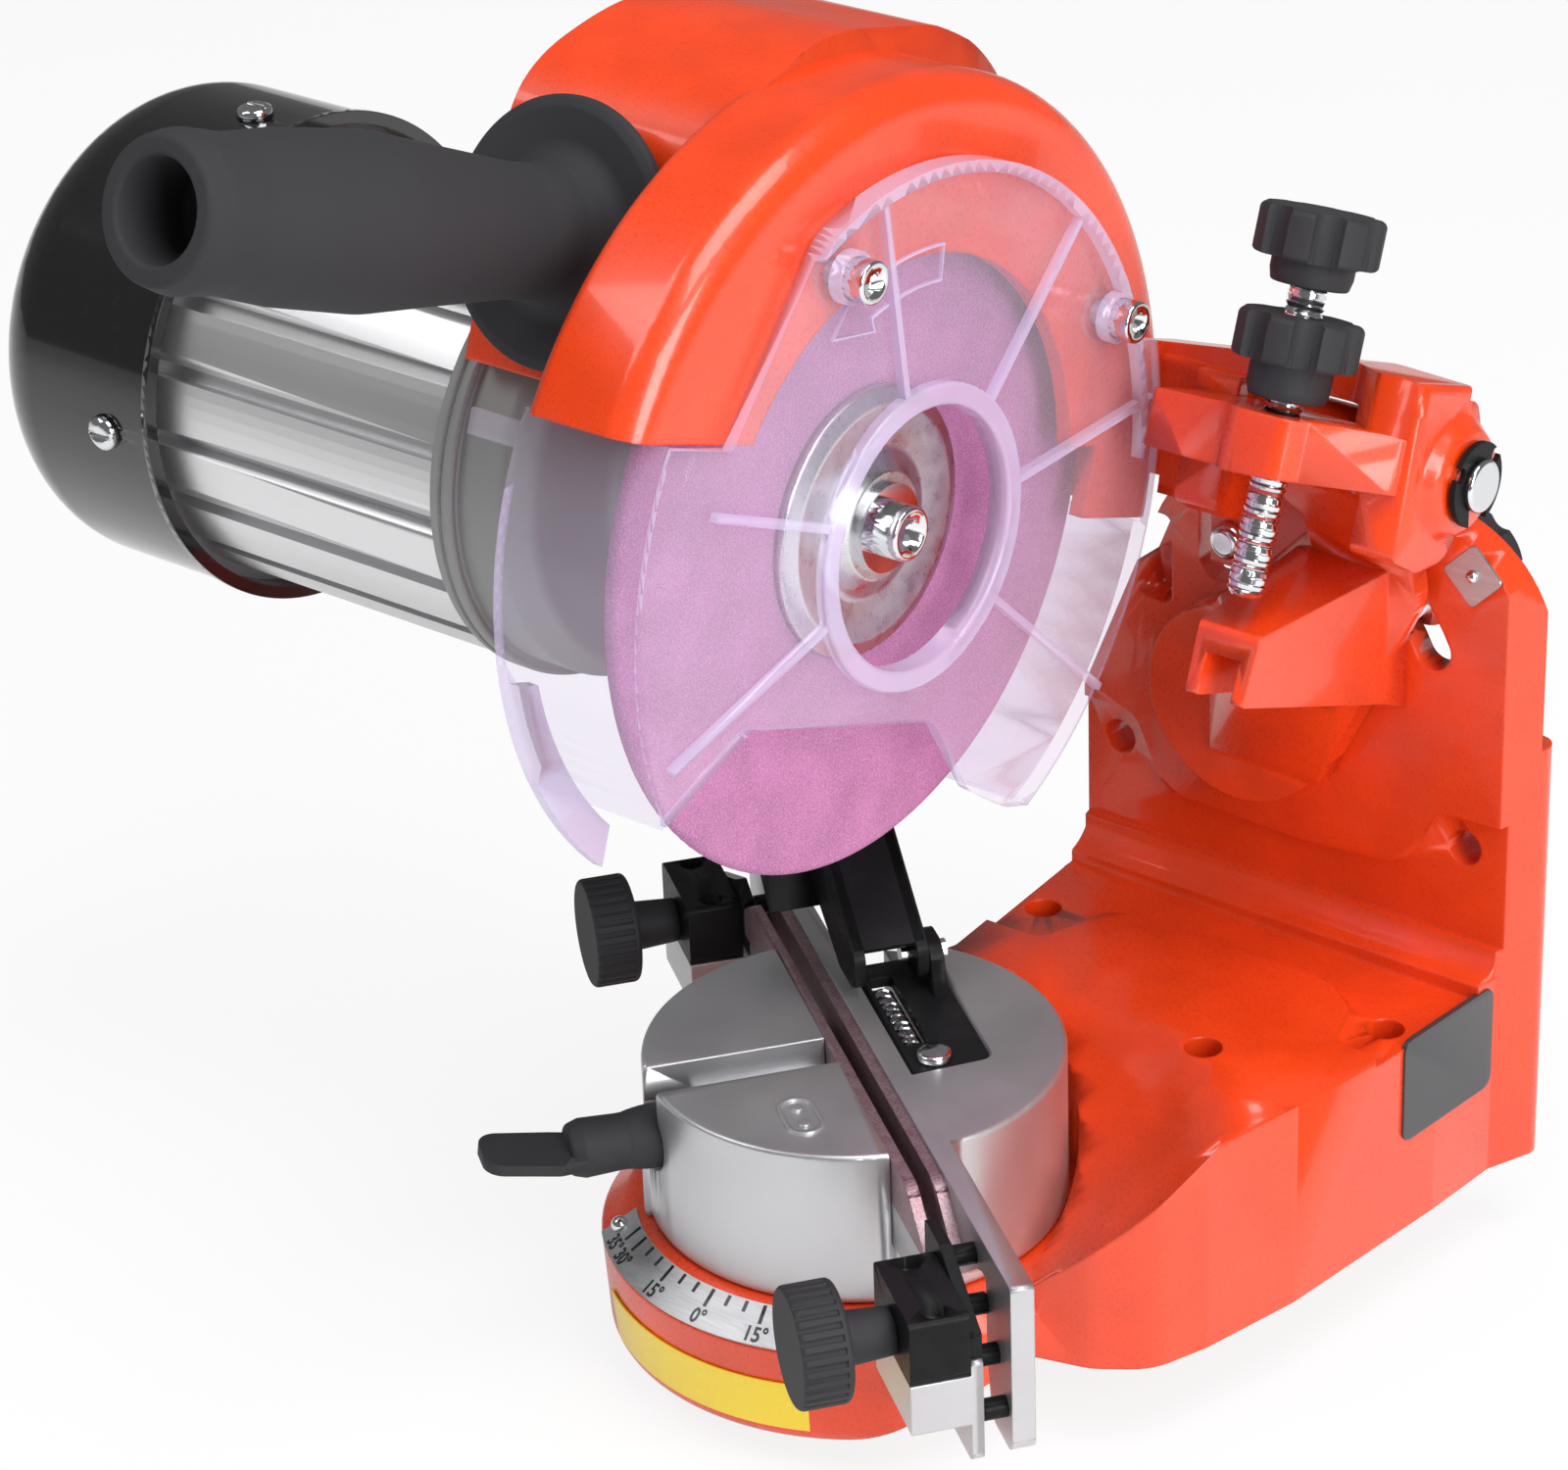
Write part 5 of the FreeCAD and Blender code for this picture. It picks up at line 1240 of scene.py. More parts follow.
class BaseFrame(SubAssembly):
    """Cast frame with its scale, rivets and plain plates."""

    def __init__(self, places: Places) -> None:
        """Args: places: the datum points."""
        super().__init__(places)
        self.scale = ScaleSizes()
        self.film = FilmSizes()
        self.badge = BadgeSizes()

    def build(self) -> None:
        """Makes every piece of the frame."""
        self.recast("base_casting", "angle_scale", "scale_rivets", "tilt_scale", "wall_button")
        self.flank_badge()
        self.dress("tilt_pivot", "pivot_stud")
        self.recast("table_knob")
        self.ticks()
        self.digits()
        self.drum_film()

    def flank_badge(self) -> None:
        """Bare plate let flat on the flank, with softened corners."""
        b = self.badge
        corners = [(-b.half_length, -b.half_height), (b.half_length, -b.half_height),
                   (b.half_length, b.half_height), (-b.half_length, b.half_height)]
        loop = rounded_outline(corners, [b.corner] * 4)
        mesh = prism_mesh("flank_badge", Axis.X, b.depth, loop, b.rim)
        place = Vector(b.centre) * MM + Vector((self.places.vise.x, self.places.vise.y, 0.0))
        mesh.transform(
            Matrix.Translation(place) @ Matrix.Rotation(math.radians(b.turn_deg), 4, "Z")
        )
        self.add(mesh, "flank_badge", "base", BADGE, "plain_badge", "side_plate")

    def cone(self, radius: float, azimuth: float, proud: float) -> Vector:
        """A point on the scale's cone.

        Args:
            radius: mm from the vise axis.
            azimuth: radians from +X.
            proud: mm off the plate's underside.

        Returns:
            The point in the row frame.
        """
        s = self.scale
        share = (radius - s.inner_r) / (s.outer_r - s.inner_r)
        z = s.inner_z + share * (s.outer_z - s.inner_z)
        run, drop = s.outer_r - s.inner_r, s.inner_z - s.outer_z
        length = math.hypot(run, drop)
        r = radius + drop / length * proud
        z += run / length * proud
        local = Vector((r * math.cos(azimuth) * MM, r * math.sin(azimuth) * MM, z * MM))
        return local + Vector((self.places.vise.x, self.places.vise.y, 0.0))

    def tick(self, name: str, reach: tuple[float, float]) -> bpy.types.Object:
        """One raised line of the scale, at azimuth 0 about the vise axis.

        Args:
            name: the line's name.
            reach: its inner and outer radius, in mm.

        Returns:
            The line's object.
        """
        build = bmesh.new()
        half = self.scale.tick_width / 2
        rows = []
        for proud in (self.scale.proud - SUNK, self.scale.proud + self.scale.tick_proud):
            row = []
            for radius, side in ((reach[0], -half), (reach[1], -half), (reach[1], half),
                                 (reach[0], half)):
                point = self.cone(radius, 0.0, proud) + Vector((0.0, side * MM, 0.0))
                point -= Vector((self.places.vise.x, self.places.vise.y, 0.0))
                row.append(build.verts.new(point))
            rows.append(row)
        build.faces.new(rows[0])
        build.faces.new(rows[1])
        for i in range(4):
            j = (i + 1) % 4
            build.faces.new((rows[0][i], rows[0][j], rows[1][j], rows[1][i]))
        return keep_object(mesh_from(build, name), name)

    def ticks(self) -> None:
        """Short lines every five degrees, with the long ones at 0, 15, 30 and 35."""
        s = self.scale
        graph = ring_graph()
        count = int(2 * s.span_deg / s.step_deg) + 1
        sets = [("short_ticks", s.short, count, -s.span_deg, s.step_deg)]
        sets += [("long_ticks_15", s.long, 3, -15.0, 15.0), ("long_ticks_30", s.long, 2, -30.0, 60.0),
                 ("long_ticks_35", s.long, 2, -35.0, 70.0)]
        for name, reach, number, start, step in sets:
            source = self.tick(name + "_source", reach)
            values = {
                "Source": source, "Count": number, "Start": math.radians(start - 90.0),
                "Step": math.radians(step), "Finish": INK.material(),
            }
            piece = grow(name, graph, values)
            bpy.data.objects.remove(source)
            piece.data.transform(Matrix.Translation((self.places.vise.x, self.places.vise.y, 0.0)))
            finish_piece(piece, "base", INK, "scale_plate")
            LOG.info("made %s", name)

    def digits(self) -> None:
        """Numbers of the scale, laid on its cone."""
        s = self.scale
        for reading in (-35, -30, -15, 0, 15, 30, 35):
            label = f"{abs(reading)}\N{DEGREE SIGN}"
            curve = bpy.data.curves.new("digits", "FONT")
            curve.body = label
            curve.align_x = "CENTER"
            curve.size = s.digit_height * s.type_size * MM
            curve.extrude = s.ink * MM
            curve.offset = s.digit_swell * MM
            curve.resolution_u = 3
            text = bpy.data.objects.new("digits_source", curve)
            bpy.context.scene.collection.objects.link(text)
            graph = bpy.context.evaluated_depsgraph_get()
            mesh = bpy.data.meshes.new_from_object(text.evaluated_get(graph))
            bpy.data.objects.remove(text)
            spread = math.copysign(s.crowd_deg, reading) if abs(reading) == s.span_deg else 0.0
            centre = math.radians(-90.0 + reading + spread)
            for vertex in mesh.vertices:
                across = vertex.co.x / MM / s.digit_r
                radius = s.digit_r + s.baseline - vertex.co.y / MM
                vertex.co = self.cone(radius, centre + across, s.proud + s.ink + vertex.co.z / MM)
            side = "left" if reading < 0 else "right"
            self.add(mesh, f"number_{abs(reading)}_{side}", "base", INK, "scale_plate")

    def drum_film(self) -> None:
        """Plain yellow film stuck round the front of the drum."""
        f = self.film
        build = bmesh.new()
        loops = []
        for height, radius in ((f.low_z, f.foot_radius), (f.high_z, f.radius)):
            for proud in (-f.sunk, f.thickness):
                loop = []
                for i in range(f.steps + 1):
                    a = math.radians(f.start_deg + (f.end_deg - f.start_deg) * i / f.steps)
                    r = (radius + proud) * MM
                    loop.append(build.verts.new((
                        self.places.vise.x + r * math.cos(a),
                        self.places.vise.y + r * math.sin(a), height * MM,
                    )))
                loops.append(loop)
        low_in, low_out, high_in, high_out = loops
        for i in range(f.steps):
            build.faces.new((low_out[i], low_out[i + 1], high_out[i + 1], high_out[i]))
            build.faces.new((low_in[i], high_in[i], high_in[i + 1], low_in[i + 1]))
            build.faces.new((high_out[i], high_out[i + 1], high_in[i + 1], high_in[i]))
            build.faces.new((low_out[i], low_in[i], low_in[i + 1], low_out[i + 1]))
        for i in (0, f.steps):
            build.faces.new((low_out[i], high_out[i], high_in[i], low_in[i]))
        mesh = mesh_from(build, "drum_film")
        self.add(mesh, "drum_film", "base", YELLOW, "plain_badge")


@dataclass
class LinkMark:
    """Raised outline of one plain chain link, in mm on the turntable's top."""

    centre: tuple[float, float] = (24.0, -18.0)
    length: float = 14.0
    width: float = 8.0
    line: float = 0.9
    dot: float = 1.2
    height: float = 0.45
    arc_steps: int = 10
    dot_steps: int = 16


@dataclass
class VisePieces:
    """Sizes of the vise's grips, in mm in the vise's own frame."""

    knob_s: float = 84.0
    knob_z: float = 38.5
    knob_core: float = 4.3
    knob_shrink: float = 0.73
    knob_stops: tuple[Spot, ...] = ((-40.0, -37.5), (-29.0, -27.5), (-17.3, -17.3))
    lever_s: float = 1.0
    lever_z: float = 38.0
    lever_shrink: float = 0.72
    lever_blend: float = 6.0
    lever_stops: tuple[Spot, ...] = ((-92.0, -79.5), (-66.0, -61.5), (-44.6, -44.6))


@dataclass
class StopArmSizes:
    """Folded chain stop, in mm from its pin along the rails and upwards."""

    pin_s: float = -22.0
    pin_up: float = 6.0
    walls: tuple[Spot, ...] = ((5.0, 7.5), (18.7, 21.2))
    wall: tuple[Spot, ...] = ((6.0, -4.0), (6.0, 4.0), (0.0, 8.0), (-38.0, 33.0), (-46.0, 28.0),
                              (-40.0, 12.0), (-6.0, -4.0))
    wall_radii: tuple[float, ...] = (3.0, 3.0, 6.0, 4.0, 5.0, 6.0, 4.0)
    web: tuple[Spot, ...] = ((4.5, 5.0), (0.0, 8.0), (-38.0, 33.0), (-45.5, 28.4),
                             (-44.3, 26.2), (-38.0, 30.4), (-0.4, 5.6), (3.2, 3.4))
    web_inset: float = 0.5
    pawl: tuple[Spot, ...] = ((-34.0, 14.0), (-28.0, 12.0), (-24.0, 1.0), (-26.0, 1.0),
                              (-34.0, 8.0))
    pawl_span: Spot = (-5.0, 6.5)
    rim: float = 0.4


@dataclass
class SpringSizes:
    """Chain-stop spring, in mm in the vise's own frame."""

    start: float = -23.5
    length: float = 25.0
    across: float = 12.5
    drop: float = 4.2
    radius: float = 2.2
    wire: float = 0.42
    turns: float = 9.0
    steps: int = 28
    sides: int = 8


class Vise(SubAssembly):
    """Turntable with its jaws, rails, stop and knobs."""

    def __init__(self, places: Places) -> None:
        """Args: places: the datum points."""
        super().__init__(places)
        self.mark = LinkMark()
        self.spring = SpringSizes()
        self.pieces = VisePieces()
        self.arm = StopArmSizes()

    def build(self) -> None:
        """Makes every piece of the vise."""
        self.recast("turntable", "rail_right", "rollers", "stop_bracket", "stop_screw")
        self.recast("moving_jaw", "rail_left", "jaw_plates", "end_blocks", "end_screws")
        self.recast("clamp_bolt")
        self.dress("stop_pin")
        self.reshape("clamp_lever", self.places.vise_frame(), self.slim_lever)
        for node, side in (("knob_front", 1.0), ("knob_rear", -1.0)):
            self.reshape(node, self.places.vise_frame(), lambda p, s=side: self.slim_knob(p, s))
        self.stop_arm()
        self.coil()
        self.link_mark()

    def slim_knob(self, point: Vector, side: float) -> Vector:
        """A point of an end knob, brought to the real knob's size.

        Args:
            point: the point, in mm in the vise's own frame.
            side: 1 for the front knob, -1 for the rear one.

        Returns:
            The moved point.
        """
        p = self.pieces
        out = slimmed(point, Axis.Y, (side * p.knob_s, p.knob_z), p.knob_core, p.knob_shrink)
        out.y = respaced(point.y, p.knob_stops)
        return out

    def slim_lever(self, point: Vector) -> Vector:
        """A point of the clamp lever, brought to the real lever's size.

        Args:
            point: the point, in mm in the vise's own frame.

        Returns:
            The moved point.
        """
        p = self.pieces
        share = min(1.0, max(0.0, (p.lever_stops[-1][0] - point.y) / p.lever_blend))
        factor = 1.0 + (p.lever_shrink - 1.0) * share
        return Vector((
            p.lever_s + (point.x - p.lever_s) * factor,
            respaced(point.y, p.lever_stops),
            p.lever_z + (point.z - p.lever_z) * factor,
        ))

    def stop_arm(self) -> None:
        """Folded black channel that leans back over the rails and carries the pawl."""
        a = self.arm
        pin_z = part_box("turntable")[1].z / MM + a.pin_up

        def at_pin(loop: tuple[Spot, ...]) -> list[Spot]:
            """An outline carried to the pin."""
            return [(a.pin_s + along, pin_z + up) for along, up in loop]

        wall = rounded_outline(at_pin(a.wall), a.wall_radii)
        inside = (a.walls[0][0] + a.web_inset, a.walls[1][1] - a.web_inset)
        parts = [prism_mesh("wall", Axis.Y, span, wall, a.rim) for span in a.walls]
        parts.append(prism_mesh("web", Axis.Y, inside, at_pin(a.web)))
        parts.append(prism_mesh("pawl", Axis.Y, a.pawl_span, at_pin(a.pawl), a.rim))
        mesh = joined_mesh("stop_arm_channel", parts)
        mesh.transform(self.places.vise_frame())
        self.add(mesh, "stop_arm_channel", "chain_stop", BLACK_OXIDE, "black_steel", "stop_arm")

    def coil(self) -> None:
        """Wound spring in place of the plain rings."""
        s = self.spring
        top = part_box("turntable")[1].z / MM
        values = {
            "Turns": s.turns, "Radius": s.radius * MM, "Height": s.length * MM, "Steps": s.steps,
            "Wire": s.wire * MM, "Sides": s.sides, "Finish": ZINC.material(),
        }
        piece = grow("stop_spring_coil", helix_graph(), values)
        lie = Matrix.Rotation(math.radians(90.0), 4, "Y")
        place = Matrix.Translation((s.start * MM, s.across * MM, (top - s.drop) * MM))
        piece.data.transform(self.places.vise_frame() @ place @ lie)
        smooth(piece.data)
        finish_piece(piece, self.body_of("stop_spring"), ZINC, "bright_zinc", "stop_spring")
        LOG.info("made stop_spring_coil")

    def link_mark(self) -> None:
        """Raised outline with two rivet dots, as plain as a sign can be."""
        m = self.mark
        build = bmesh.new()
        outer, inner = [], []
        for i in range(4 * m.arc_steps):
            a = 2 * math.pi * i / (4 * m.arc_steps)
            shift = (m.length - m.width) / 2 * (1 if math.cos(a) > 0 else -1)
            for ring, radius in ((outer, m.width / 2), (inner, m.width / 2 - m.line)):
                ring.append((shift + radius * math.cos(a), radius * math.sin(a)))
        self._band(build, outer, inner)
        for x in (-(m.length - m.width) / 2, (m.length - m.width) / 2):
            rim = [(x + m.dot * math.cos(t), m.dot * math.sin(t))
                   for t in (2 * math.pi * k / m.dot_steps for k in range(m.dot_steps))]
            low = [build.verts.new(self._lift(p, -SUNK)) for p in rim]
            high = [build.verts.new(self._lift(p, m.height)) for p in rim]
            build.faces.new(high)
            build.faces.new(list(reversed(low)))
            for k in range(m.dot_steps):
                j = (k + 1) % m.dot_steps
                build.faces.new((low[k], low[j], high[j], high[k]))
        mesh = mesh_from(build, "link_mark")
        self.add(mesh, "link_mark", "turntable", SILVER, "silver_casting")

    def _lift(self, point: tuple[float, float], height: float) -> Vector:
        """A point of the mark on the turntable's top."""
        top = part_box("turntable")[1].z
        x = self.mark.centre[0] + point[0]
        y = self.mark.centre[1] + point[1]
        return self.places.vise_frame() @ Vector((x * MM, y * MM, top + height * MM))

    def _band(
        self,
        build: bmesh.types.BMesh,
        outer: list[tuple[float, float]],
        inner: list[tuple[float, float]],
    ) -> None:
        """Closed raised band between two loops of points.

        Args:
            build: the mesh that it goes into.
            outer: outer loop, in mm about the mark's middle.
            inner: inner loop, with as many points.
        """
        rings = []
        for loop, height in ((outer, -SUNK), (outer, self.mark.height), (inner, self.mark.height),
                             (inner, -SUNK)):
            rings.append([build.verts.new(self._lift(p, height)) for p in loop])
        count = len(outer)
        for k in range(4):
            first, second = rings[k], rings[(k + 1) % 4]
            for i in range(count):
                j = (i + 1) % count
                build.faces.new((first[i], first[j], second[j], second[i]))


@dataclass
class ThreadSizes:
    """M8 depth screw, in mm."""

    outer_r: float = 4.0
    core_r: float = 3.3
    pitch: float = 1.25
    ridge: float = 0.62
    bedding: float = 0.05
    plain_end: float = 0.75
    chamfer: float = 0.5
    end_share: float = 0.85
    steps: int = 30
    sides: int = 4


@dataclass
class DepthKnobs:
    """Sizes of the depth screw's two knobs, in mm in the level head's own frame."""

    axis: Spot = (54.0, -25.2)
    core: float = 4.2
    shrink: float = 0.75
    grip_stops: tuple[Spot, ...] = ((29.5, 32.5), (34.5, 37.5), (48.5, 47.5))
    lock_stops: tuple[Spot, ...] = ((7.1, 9.8), (12.8, 17.0), (25.5, 26.5))


class Support(SubAssembly):
    """Tilting support on the wall, with its locks."""

    def build(self) -> None:
        """Makes every piece of the support."""
        self.recast("tilt_support", "hinge_pin", "e_clip", "tilt_knob")
        self.dress("tilt_stud")


class DepthStop(SubAssembly):
    """Threaded screw with its two knobs."""

    def __init__(self, places: Places) -> None:
        """Args: places: the datum points."""
        super().__init__(places)
        self.thread = ThreadSizes()
        self.knobs = DepthKnobs()

    def build(self) -> None:
        """Makes the knobs and the screw."""
        for node, stops in (("depth_knob", self.knobs.grip_stops),
                            ("lock_knob", self.knobs.lock_stops)):
            self.reshape(node, self.places.head_frame(), lambda p, s=stops: self.slim(p, s))
        self.screw()

    def slim(self, point: Vector, stops: Stops) -> Vector:
        """A point of a star knob, brought to the real knob's size.

        Args:
            point: the point, in mm in the level head's frame.
            stops: old heights with their new ones.

        Returns:
            The moved point.
        """
        k = self.knobs
        out = slimmed(point, Axis.Z, k.axis, k.core, k.shrink)
        out.z = respaced(point.z, stops)
        return out

    def screw(self) -> None:
        """Screw with a real helical thread."""
        t = self.thread
        low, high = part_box("depth_screw")
        axis = self.places.lift @ Vector((0.0, 0.0, 1.0))
        centre = (low + high) / 2
        length = (high.z - low.z - 2 * t.outer_r * MM * abs(axis.y)) / axis.z
        foot = centre - axis * length / 2
        values = {
            "Turns": length / MM / t.pitch - 2 * t.plain_end,
            "Radius": (t.core_r + t.bedding) * MM,
            "Height": length - 2 * t.plain_end * t.pitch * MM, "Steps": t.steps,
            "Wire": t.ridge * MM, "Sides": t.sides, "Finish": ZINC.material(),
        }
        piece = grow("depth_screw_thread", helix_graph(), values)
        piece.data.transform(Matrix.Translation((0.0, 0.0, t.plain_end * t.pitch * MM)))
        r, end, cut = t.core_r * MM, t.core_r * MM * t.end_share, t.chamfer * MM
        core = turned_mesh("core", [
            (0.0, 0.0), (end, 0.0), (r, cut), (r, length - cut), (end, length), (0.0, length),
        ])
        mesh = joined_mesh("depth_screw_threaded", [piece.data, core])
        bpy.data.objects.remove(piece)
        mesh.transform(Matrix.Translation(foot) @ self.places.lift)
        self.add(mesh, "depth_screw_threaded", "depth_rod", ZINC, "bright_zinc", "depth_screw")


@dataclass
class ArrowSizes:
    """Moulded arrow on the guard, in mm and degrees about the hub."""

    inner_r: float = 51.0
    outer_r: float = 58.0
    start_deg: float = 100.0
    neck_deg: float = 124.0
    tip_deg: float = 136.0
    flare: float = 3.0
    line: float = 0.5
    proud: float = 0.5
    arc_steps: int = 8
    tip_swell: float = 1.6


@dataclass
class HeadSizes:
    """Small shift of the handle, in mm in the level head's frame."""

    handle_shift: tuple[float, float, float] = (1.0, 0.0, 3.0)


class Head(SubAssembly):
    """Hinged head casting with handle, switch and fixed small parts."""

    def __init__(self, places: Places) -> None:
        """Args: places: the datum points."""
        super().__init__(places)
        self.sizes = HeadSizes()

    def build(self) -> None:
        """Makes every piece of the head."""
        self.recast("guard_bolts", "capacitor", "head_casting", "cord_gland", "switch_body",
                    "rocker")
        shift = Vector(self.sizes.handle_shift)
        for node in ("handle", "handle_stud"):
            self.reshape(node, self.places.hub_frame(), lambda p: p + shift)


@dataclass
class SheetSizes:
    """Where the guard's sheet lies along the spindle, in mm from the wheel's middle."""

    inner_x: float = 13.0
    outer_x: float = 15.5
    skirt_back_x: float = -20.0
    slack: float = 0.05
    rim_facing: float = 0.5
    lip: float = 2.6
    lip_top: float = 2.0


class Guard(SubAssembly):
    """Clear guard with the arrow moulded in it."""

    def __init__(self, places: Places) -> None:
        """Args: places: the datum points."""
        super().__init__(places)
        self.arrow = ArrowSizes()
        self.sheet = SheetSizes()

    def build(self) -> None:
        """Makes the guard and its arrow."""
        self.mark_edges(self.recast("guard")[0])
        self.mark_edges(self.turn_arrow())

    def mark_edges(self, piece: bpy.types.Object) -> None:
        """Writes 1 on faces that belong to ribs and cut edges, 0 on the plain sheet; the clear finish paints
        shade where it is 1.

        Args:
            piece: the clear piece.
        """
        g = self.sheet
        back = self.places.hub_frame().inverted()
        layer = piece.data.attributes.new(CLEAR.edge_layer, "FLOAT", "FACE")
        for face in piece.data.polygons:
            c = (back @ face.center) / MM
            across = abs((back.to_3x3() @ face.normal).x)
            rib = c.x > g.outer_x + g.slack
            rim = c.x > g.inner_x - g.slack and across < g.rim_facing
            lip = c.x < g.skirt_back_x + g.lip and c.z < g.lip_top
            layer.data[face.index].value = 1.0 if rib or rim or lip else 0.0

    def outline(self, grow_mm: float) -> list[tuple[float, float]]:
        """Arrow outline about the hub.

        Args:
            grow_mm: how far it is set outwards, in mm.

        Returns:
            The outline's (y, z) points, in mm.
        """
        a = self.arrow
        points = []
        steps = a.arc_steps
        swell = math.degrees(grow_mm / a.outer_r)
        for i in range(steps + 1):
            t = math.radians(a.start_deg - swell + (a.neck_deg - a.start_deg) * i / steps)
            points.append(((a.outer_r + grow_mm) * math.cos(t), (a.outer_r + grow_mm) * math.sin(t)))
        neck = math.radians(a.neck_deg - swell)
        tip = math.radians(a.tip_deg + a.tip_swell * swell)
        middle = (a.inner_r + a.outer_r) / 2
        wide = a.flare + grow_mm
        points.append(((a.outer_r + wide) * math.cos(neck), (a.outer_r + wide) * math.sin(neck)))
        points.append((middle * math.cos(tip), middle * math.sin(tip)))
        points.append(((a.inner_r - wide) * math.cos(neck), (a.inner_r - wide) * math.sin(neck)))
        for i in range(steps, -1, -1):
            t = math.radians(a.start_deg - swell + (a.neck_deg - a.start_deg) * i / steps)
            points.append(((a.inner_r - grow_mm) * math.cos(t), (a.inner_r - grow_mm) * math.sin(t)))
        return points

    def turn_arrow(self) -> bpy.types.Object:
        """Raised outline of the arrow that shows how the wheel turns."""
        a = self.arrow
        face_x = self.sheet.outer_x
        outer, inner = self.outline(a.line / 2), self.outline(-a.line / 2)
        build = bmesh.new()
        rings = []
        for loop, x in ((outer, face_x - SUNK), (outer, face_x + a.proud),
                        (inner, face_x + a.proud), (inner, face_x - SUNK)):
            rings.append([build.verts.new((x * MM, y * MM, z * MM)) for y, z in loop])
        for k in range(4):
            first, second = rings[k], rings[(k + 1) % 4]
            for i in range(len(outer)):
                j = (i + 1) % len(outer)
                build.faces.new((first[i], first[j], second[j], second[i]))
        mesh = mesh_from(build, "turn_arrow")
        mesh.transform(self.places.hub_frame())
        return self.add(mesh, "turn_arrow", "head", CLEAR, "clear_guard")


class Motor(SubAssembly):
    """Finned motor with its cap and what it holds."""

    def build(self) -> None:
        """Makes every piece of the motor."""
        self.recast("motor_bracket", "motor_housing", "motor_cap", "cap_screws")
        self.dress("motor_shield", "stator", "windings", "bearings")


class Spindle(SubAssembly):
    """Wheel, flanges and what turns with them."""

    def build(self) -> None:
        """Makes every piece that spins."""
        self.recast("grinding_wheel", "front_flange", "wheel_bolt", "back_flange", "shaft", "fan")
        self.dress("rotor")


# ============================================================ studio
@dataclass
class Softbox:
    """One area lamp: where it stands, where it points, its size and power."""

    name: str
    place: tuple[float, float, float]
    width: float
    height: float
    power: float


@dataclass
class StudioSizes:
    """Camera and room."""

    eye: tuple[float, float, float] = (0.497758, -0.725325, 0.552757)
    azimuth_deg: float = 40.24
    elevation_deg: float = 27.149
    roll_deg: float = -2.272
    lens: float = 109.11
    sensor: float = 36.0
    floor_half: float = 4.0
    floor_gap: float = 0.0003
    lamps: list[Softbox] = field(default_factory=lambda: [
        Softbox("key", (-0.75, -0.75, 1.25), 0.6, 0.7, 5.0),
        Softbox("fill", (1.3, -0.55, 0.75), 0.7, 1.0, 17.0),
        Softbox("top", (0.45, -0.1, 1.45), 0.9, 0.8, 12.5),
    ])
    world_diffuse: float = 0.36
    world_glossy: float = 0.16
    floor_seen: float = 0.85
    floor_through: float = 0.85
    floor_glossy: float = 0.2


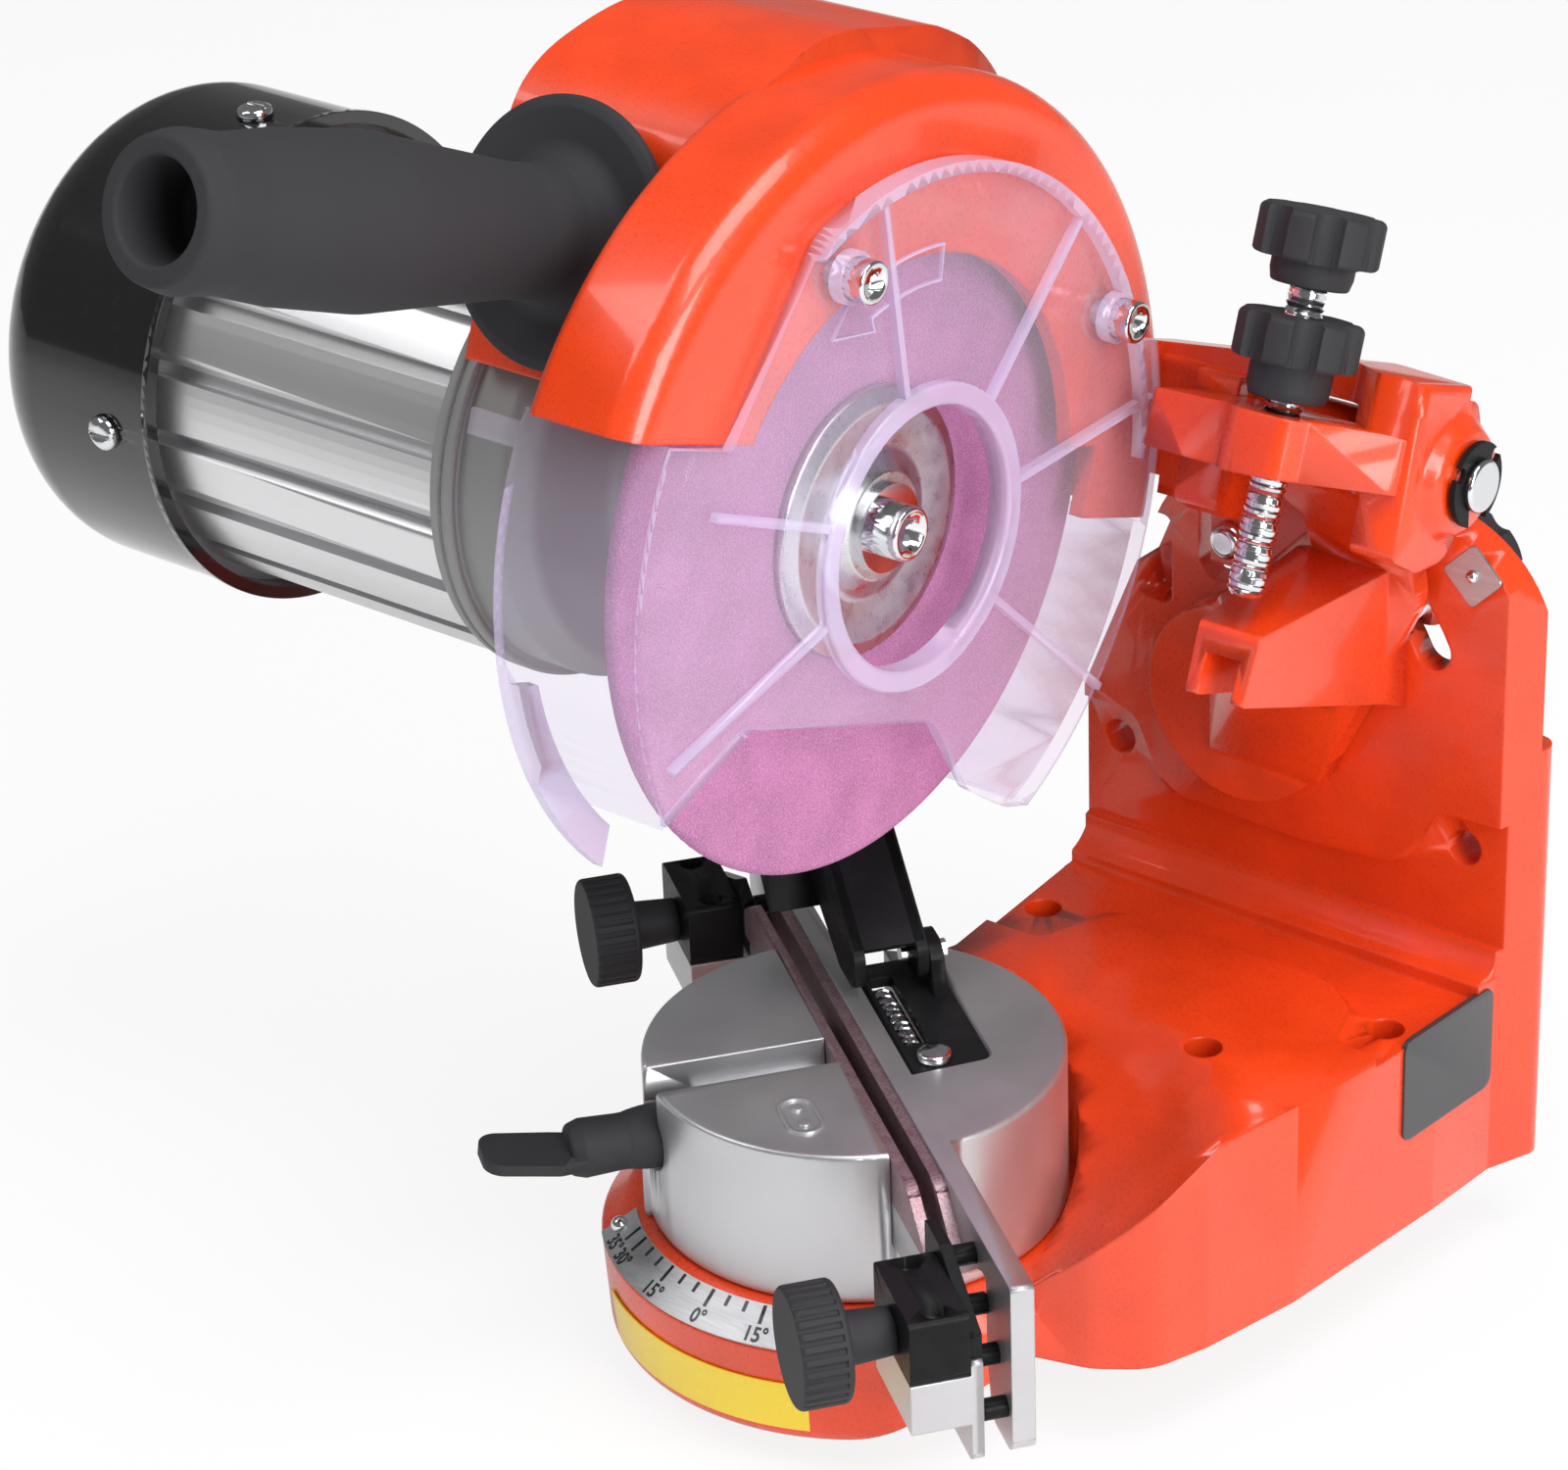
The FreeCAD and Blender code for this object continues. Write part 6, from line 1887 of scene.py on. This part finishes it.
class Studio:
    """Pale floor, soft lamps and the camera."""

    def __init__(self) -> None:
        """Takes the usual sizes."""
        self.sizes = StudioSizes()

    def build(self) -> None:
        """Makes the camera first, then floor, world and lamps."""
        self.camera()
        self.floor()
        self.world()
        for lamp in self.sizes.lamps:
            self.lamp(lamp)

    def camera(self) -> None:
        """Camera with its roll, looking at the machine."""
        s = self.sizes
        a, e, r = (math.radians(v) for v in (s.azimuth_deg, s.elevation_deg, s.roll_deg))
        back = Vector((math.sin(a) * math.cos(e), -math.cos(a) * math.cos(e), math.sin(e)))
        right = Vector((math.cos(a), math.sin(a), 0.0))
        up = back.cross(right)
        side = right * math.cos(r) + up * math.sin(r)
        top = up * math.cos(r) - right * math.sin(r)
        turn = Matrix((side, top, back)).transposed().to_4x4()
        data = bpy.data.cameras.new("camera")
        data.lens = s.lens
        data.sensor_width = s.sensor
        data.clip_start = 0.05
        data.clip_end = 20.0
        made = bpy.data.objects.new("camera", data)
        bpy.context.scene.collection.objects.link(made)
        made.matrix_world = Matrix.Translation(s.eye) @ turn
        bpy.context.scene.camera = made

    def floor(self) -> None:
        """Pale floor just under the lowest point."""
        half = self.sizes.floor_half
        level = CAD_BOX[0].z - self.sizes.floor_gap
        build = bmesh.new()
        corners = [build.verts.new((x * half, y * half, level))
                   for x, y in ((-1, -1), (1, -1), (1, 1), (-1, 1))]
        build.faces.new(corners)
        made = keep_object(mesh_from(build, "floor"), "floor")
        recipe = Recipe("pale_floor")
        seen = recipe.node("ShaderNodeLightPath")
        matte = recipe.surface(Base_Color=(0.9, 0.9, 0.9), Roughness=0.9)
        glow = recipe.node("ShaderNodeEmission", None, {"Color": (1.0, 1.0, 1.0), "Strength": 1.0})
        shares = [recipe.wire(seen, "Is Camera Ray") * self.sizes.floor_seen,
                  recipe.wire(seen, "Is Transmission Ray") * self.sizes.floor_through,
                  recipe.wire(seen, "Is Glossy Ray") * self.sizes.floor_glossy]
        factor = recipe.math("MAXIMUM", shares[0], recipe.math("MAXIMUM", shares[1], shares[2]))
        both = recipe.node("ShaderNodeMixShader", None,
                           {0: factor, 1: recipe.wire(matte), 2: recipe.wire(glow)})
        made.data.materials.append(recipe.finish(both))

    def world(self) -> None:
        """White to the eye, softer as a light."""
        world = bpy.data.worlds.new("studio")
        world.use_nodes = True
        tree = world.node_tree
        tree.nodes.clear()
        path = tree.nodes.new("ShaderNodeLightPath")

        def rule(operation: str, *values: object) -> bpy.types.NodeSocket:
            """A Math node of the world's tree.

            Args:
                operation: the node's operation.
                values: its numbers or sockets.

            Returns:
                The result's socket.
            """
            made = tree.nodes.new("ShaderNodeMath")
            made.operation = operation
            for socket, value in zip(made.inputs, values):
                if isinstance(value, bpy.types.NodeSocket):
                    tree.links.new(value, socket)
                else:
                    socket.default_value = value
            return made.outputs[0]

        s = self.sizes
        seen = rule("MAXIMUM", path.outputs["Is Camera Ray"], path.outputs["Is Transmission Ray"])
        shine = rule("MULTIPLY", path.outputs["Is Glossy Ray"], s.world_glossy - s.world_diffuse)
        level = rule("MAXIMUM", seen, rule("ADD", shine, s.world_diffuse))
        background = tree.nodes.new("ShaderNodeBackground")
        background.inputs["Color"].default_value = (1.0, 1.0, 1.0, 1.0)
        tree.links.new(level, background.inputs["Strength"])
        out = tree.nodes.new("ShaderNodeOutputWorld")
        tree.links.new(background.outputs[0], out.inputs["Surface"])
        bpy.context.scene.world = world

    @staticmethod
    def lamp(box: Softbox) -> None:
        """One soft area lamp that points at the machine's middle.

        Args:
            box: the lamp's place, size and power.
        """
        data = bpy.data.lights.new(box.name, "AREA")
        data.shape = "RECTANGLE"
        data.size = box.width
        data.size_y = box.height
        data.energy = box.power
        made = bpy.data.objects.new(box.name, data)
        bpy.context.scene.collection.objects.link(made)
        place = Vector(box.place)
        aim = (CAD_BOX[0] + CAD_BOX[1]) / 2
        made.matrix_world = Matrix.Translation(place) @ (
            (aim - place).to_track_quat("-Z", "Y").to_matrix().to_4x4()
        )


def main() -> None:
    """Builds the studio and the machine, and reports each piece."""
    logging.basicConfig(level=logging.INFO, format="%(name)s: %(message)s")
    bpy.context.scene.view_settings.view_transform = "Standard"
    Studio().build()
    places = Places()
    for kind in (BaseFrame, Vise, Support, DepthStop, Head, Guard, Motor, Spindle):
        kind(places).build()
        LOG.info("finished %s", kind.__name__)


if __name__ == "__main__":
    main()
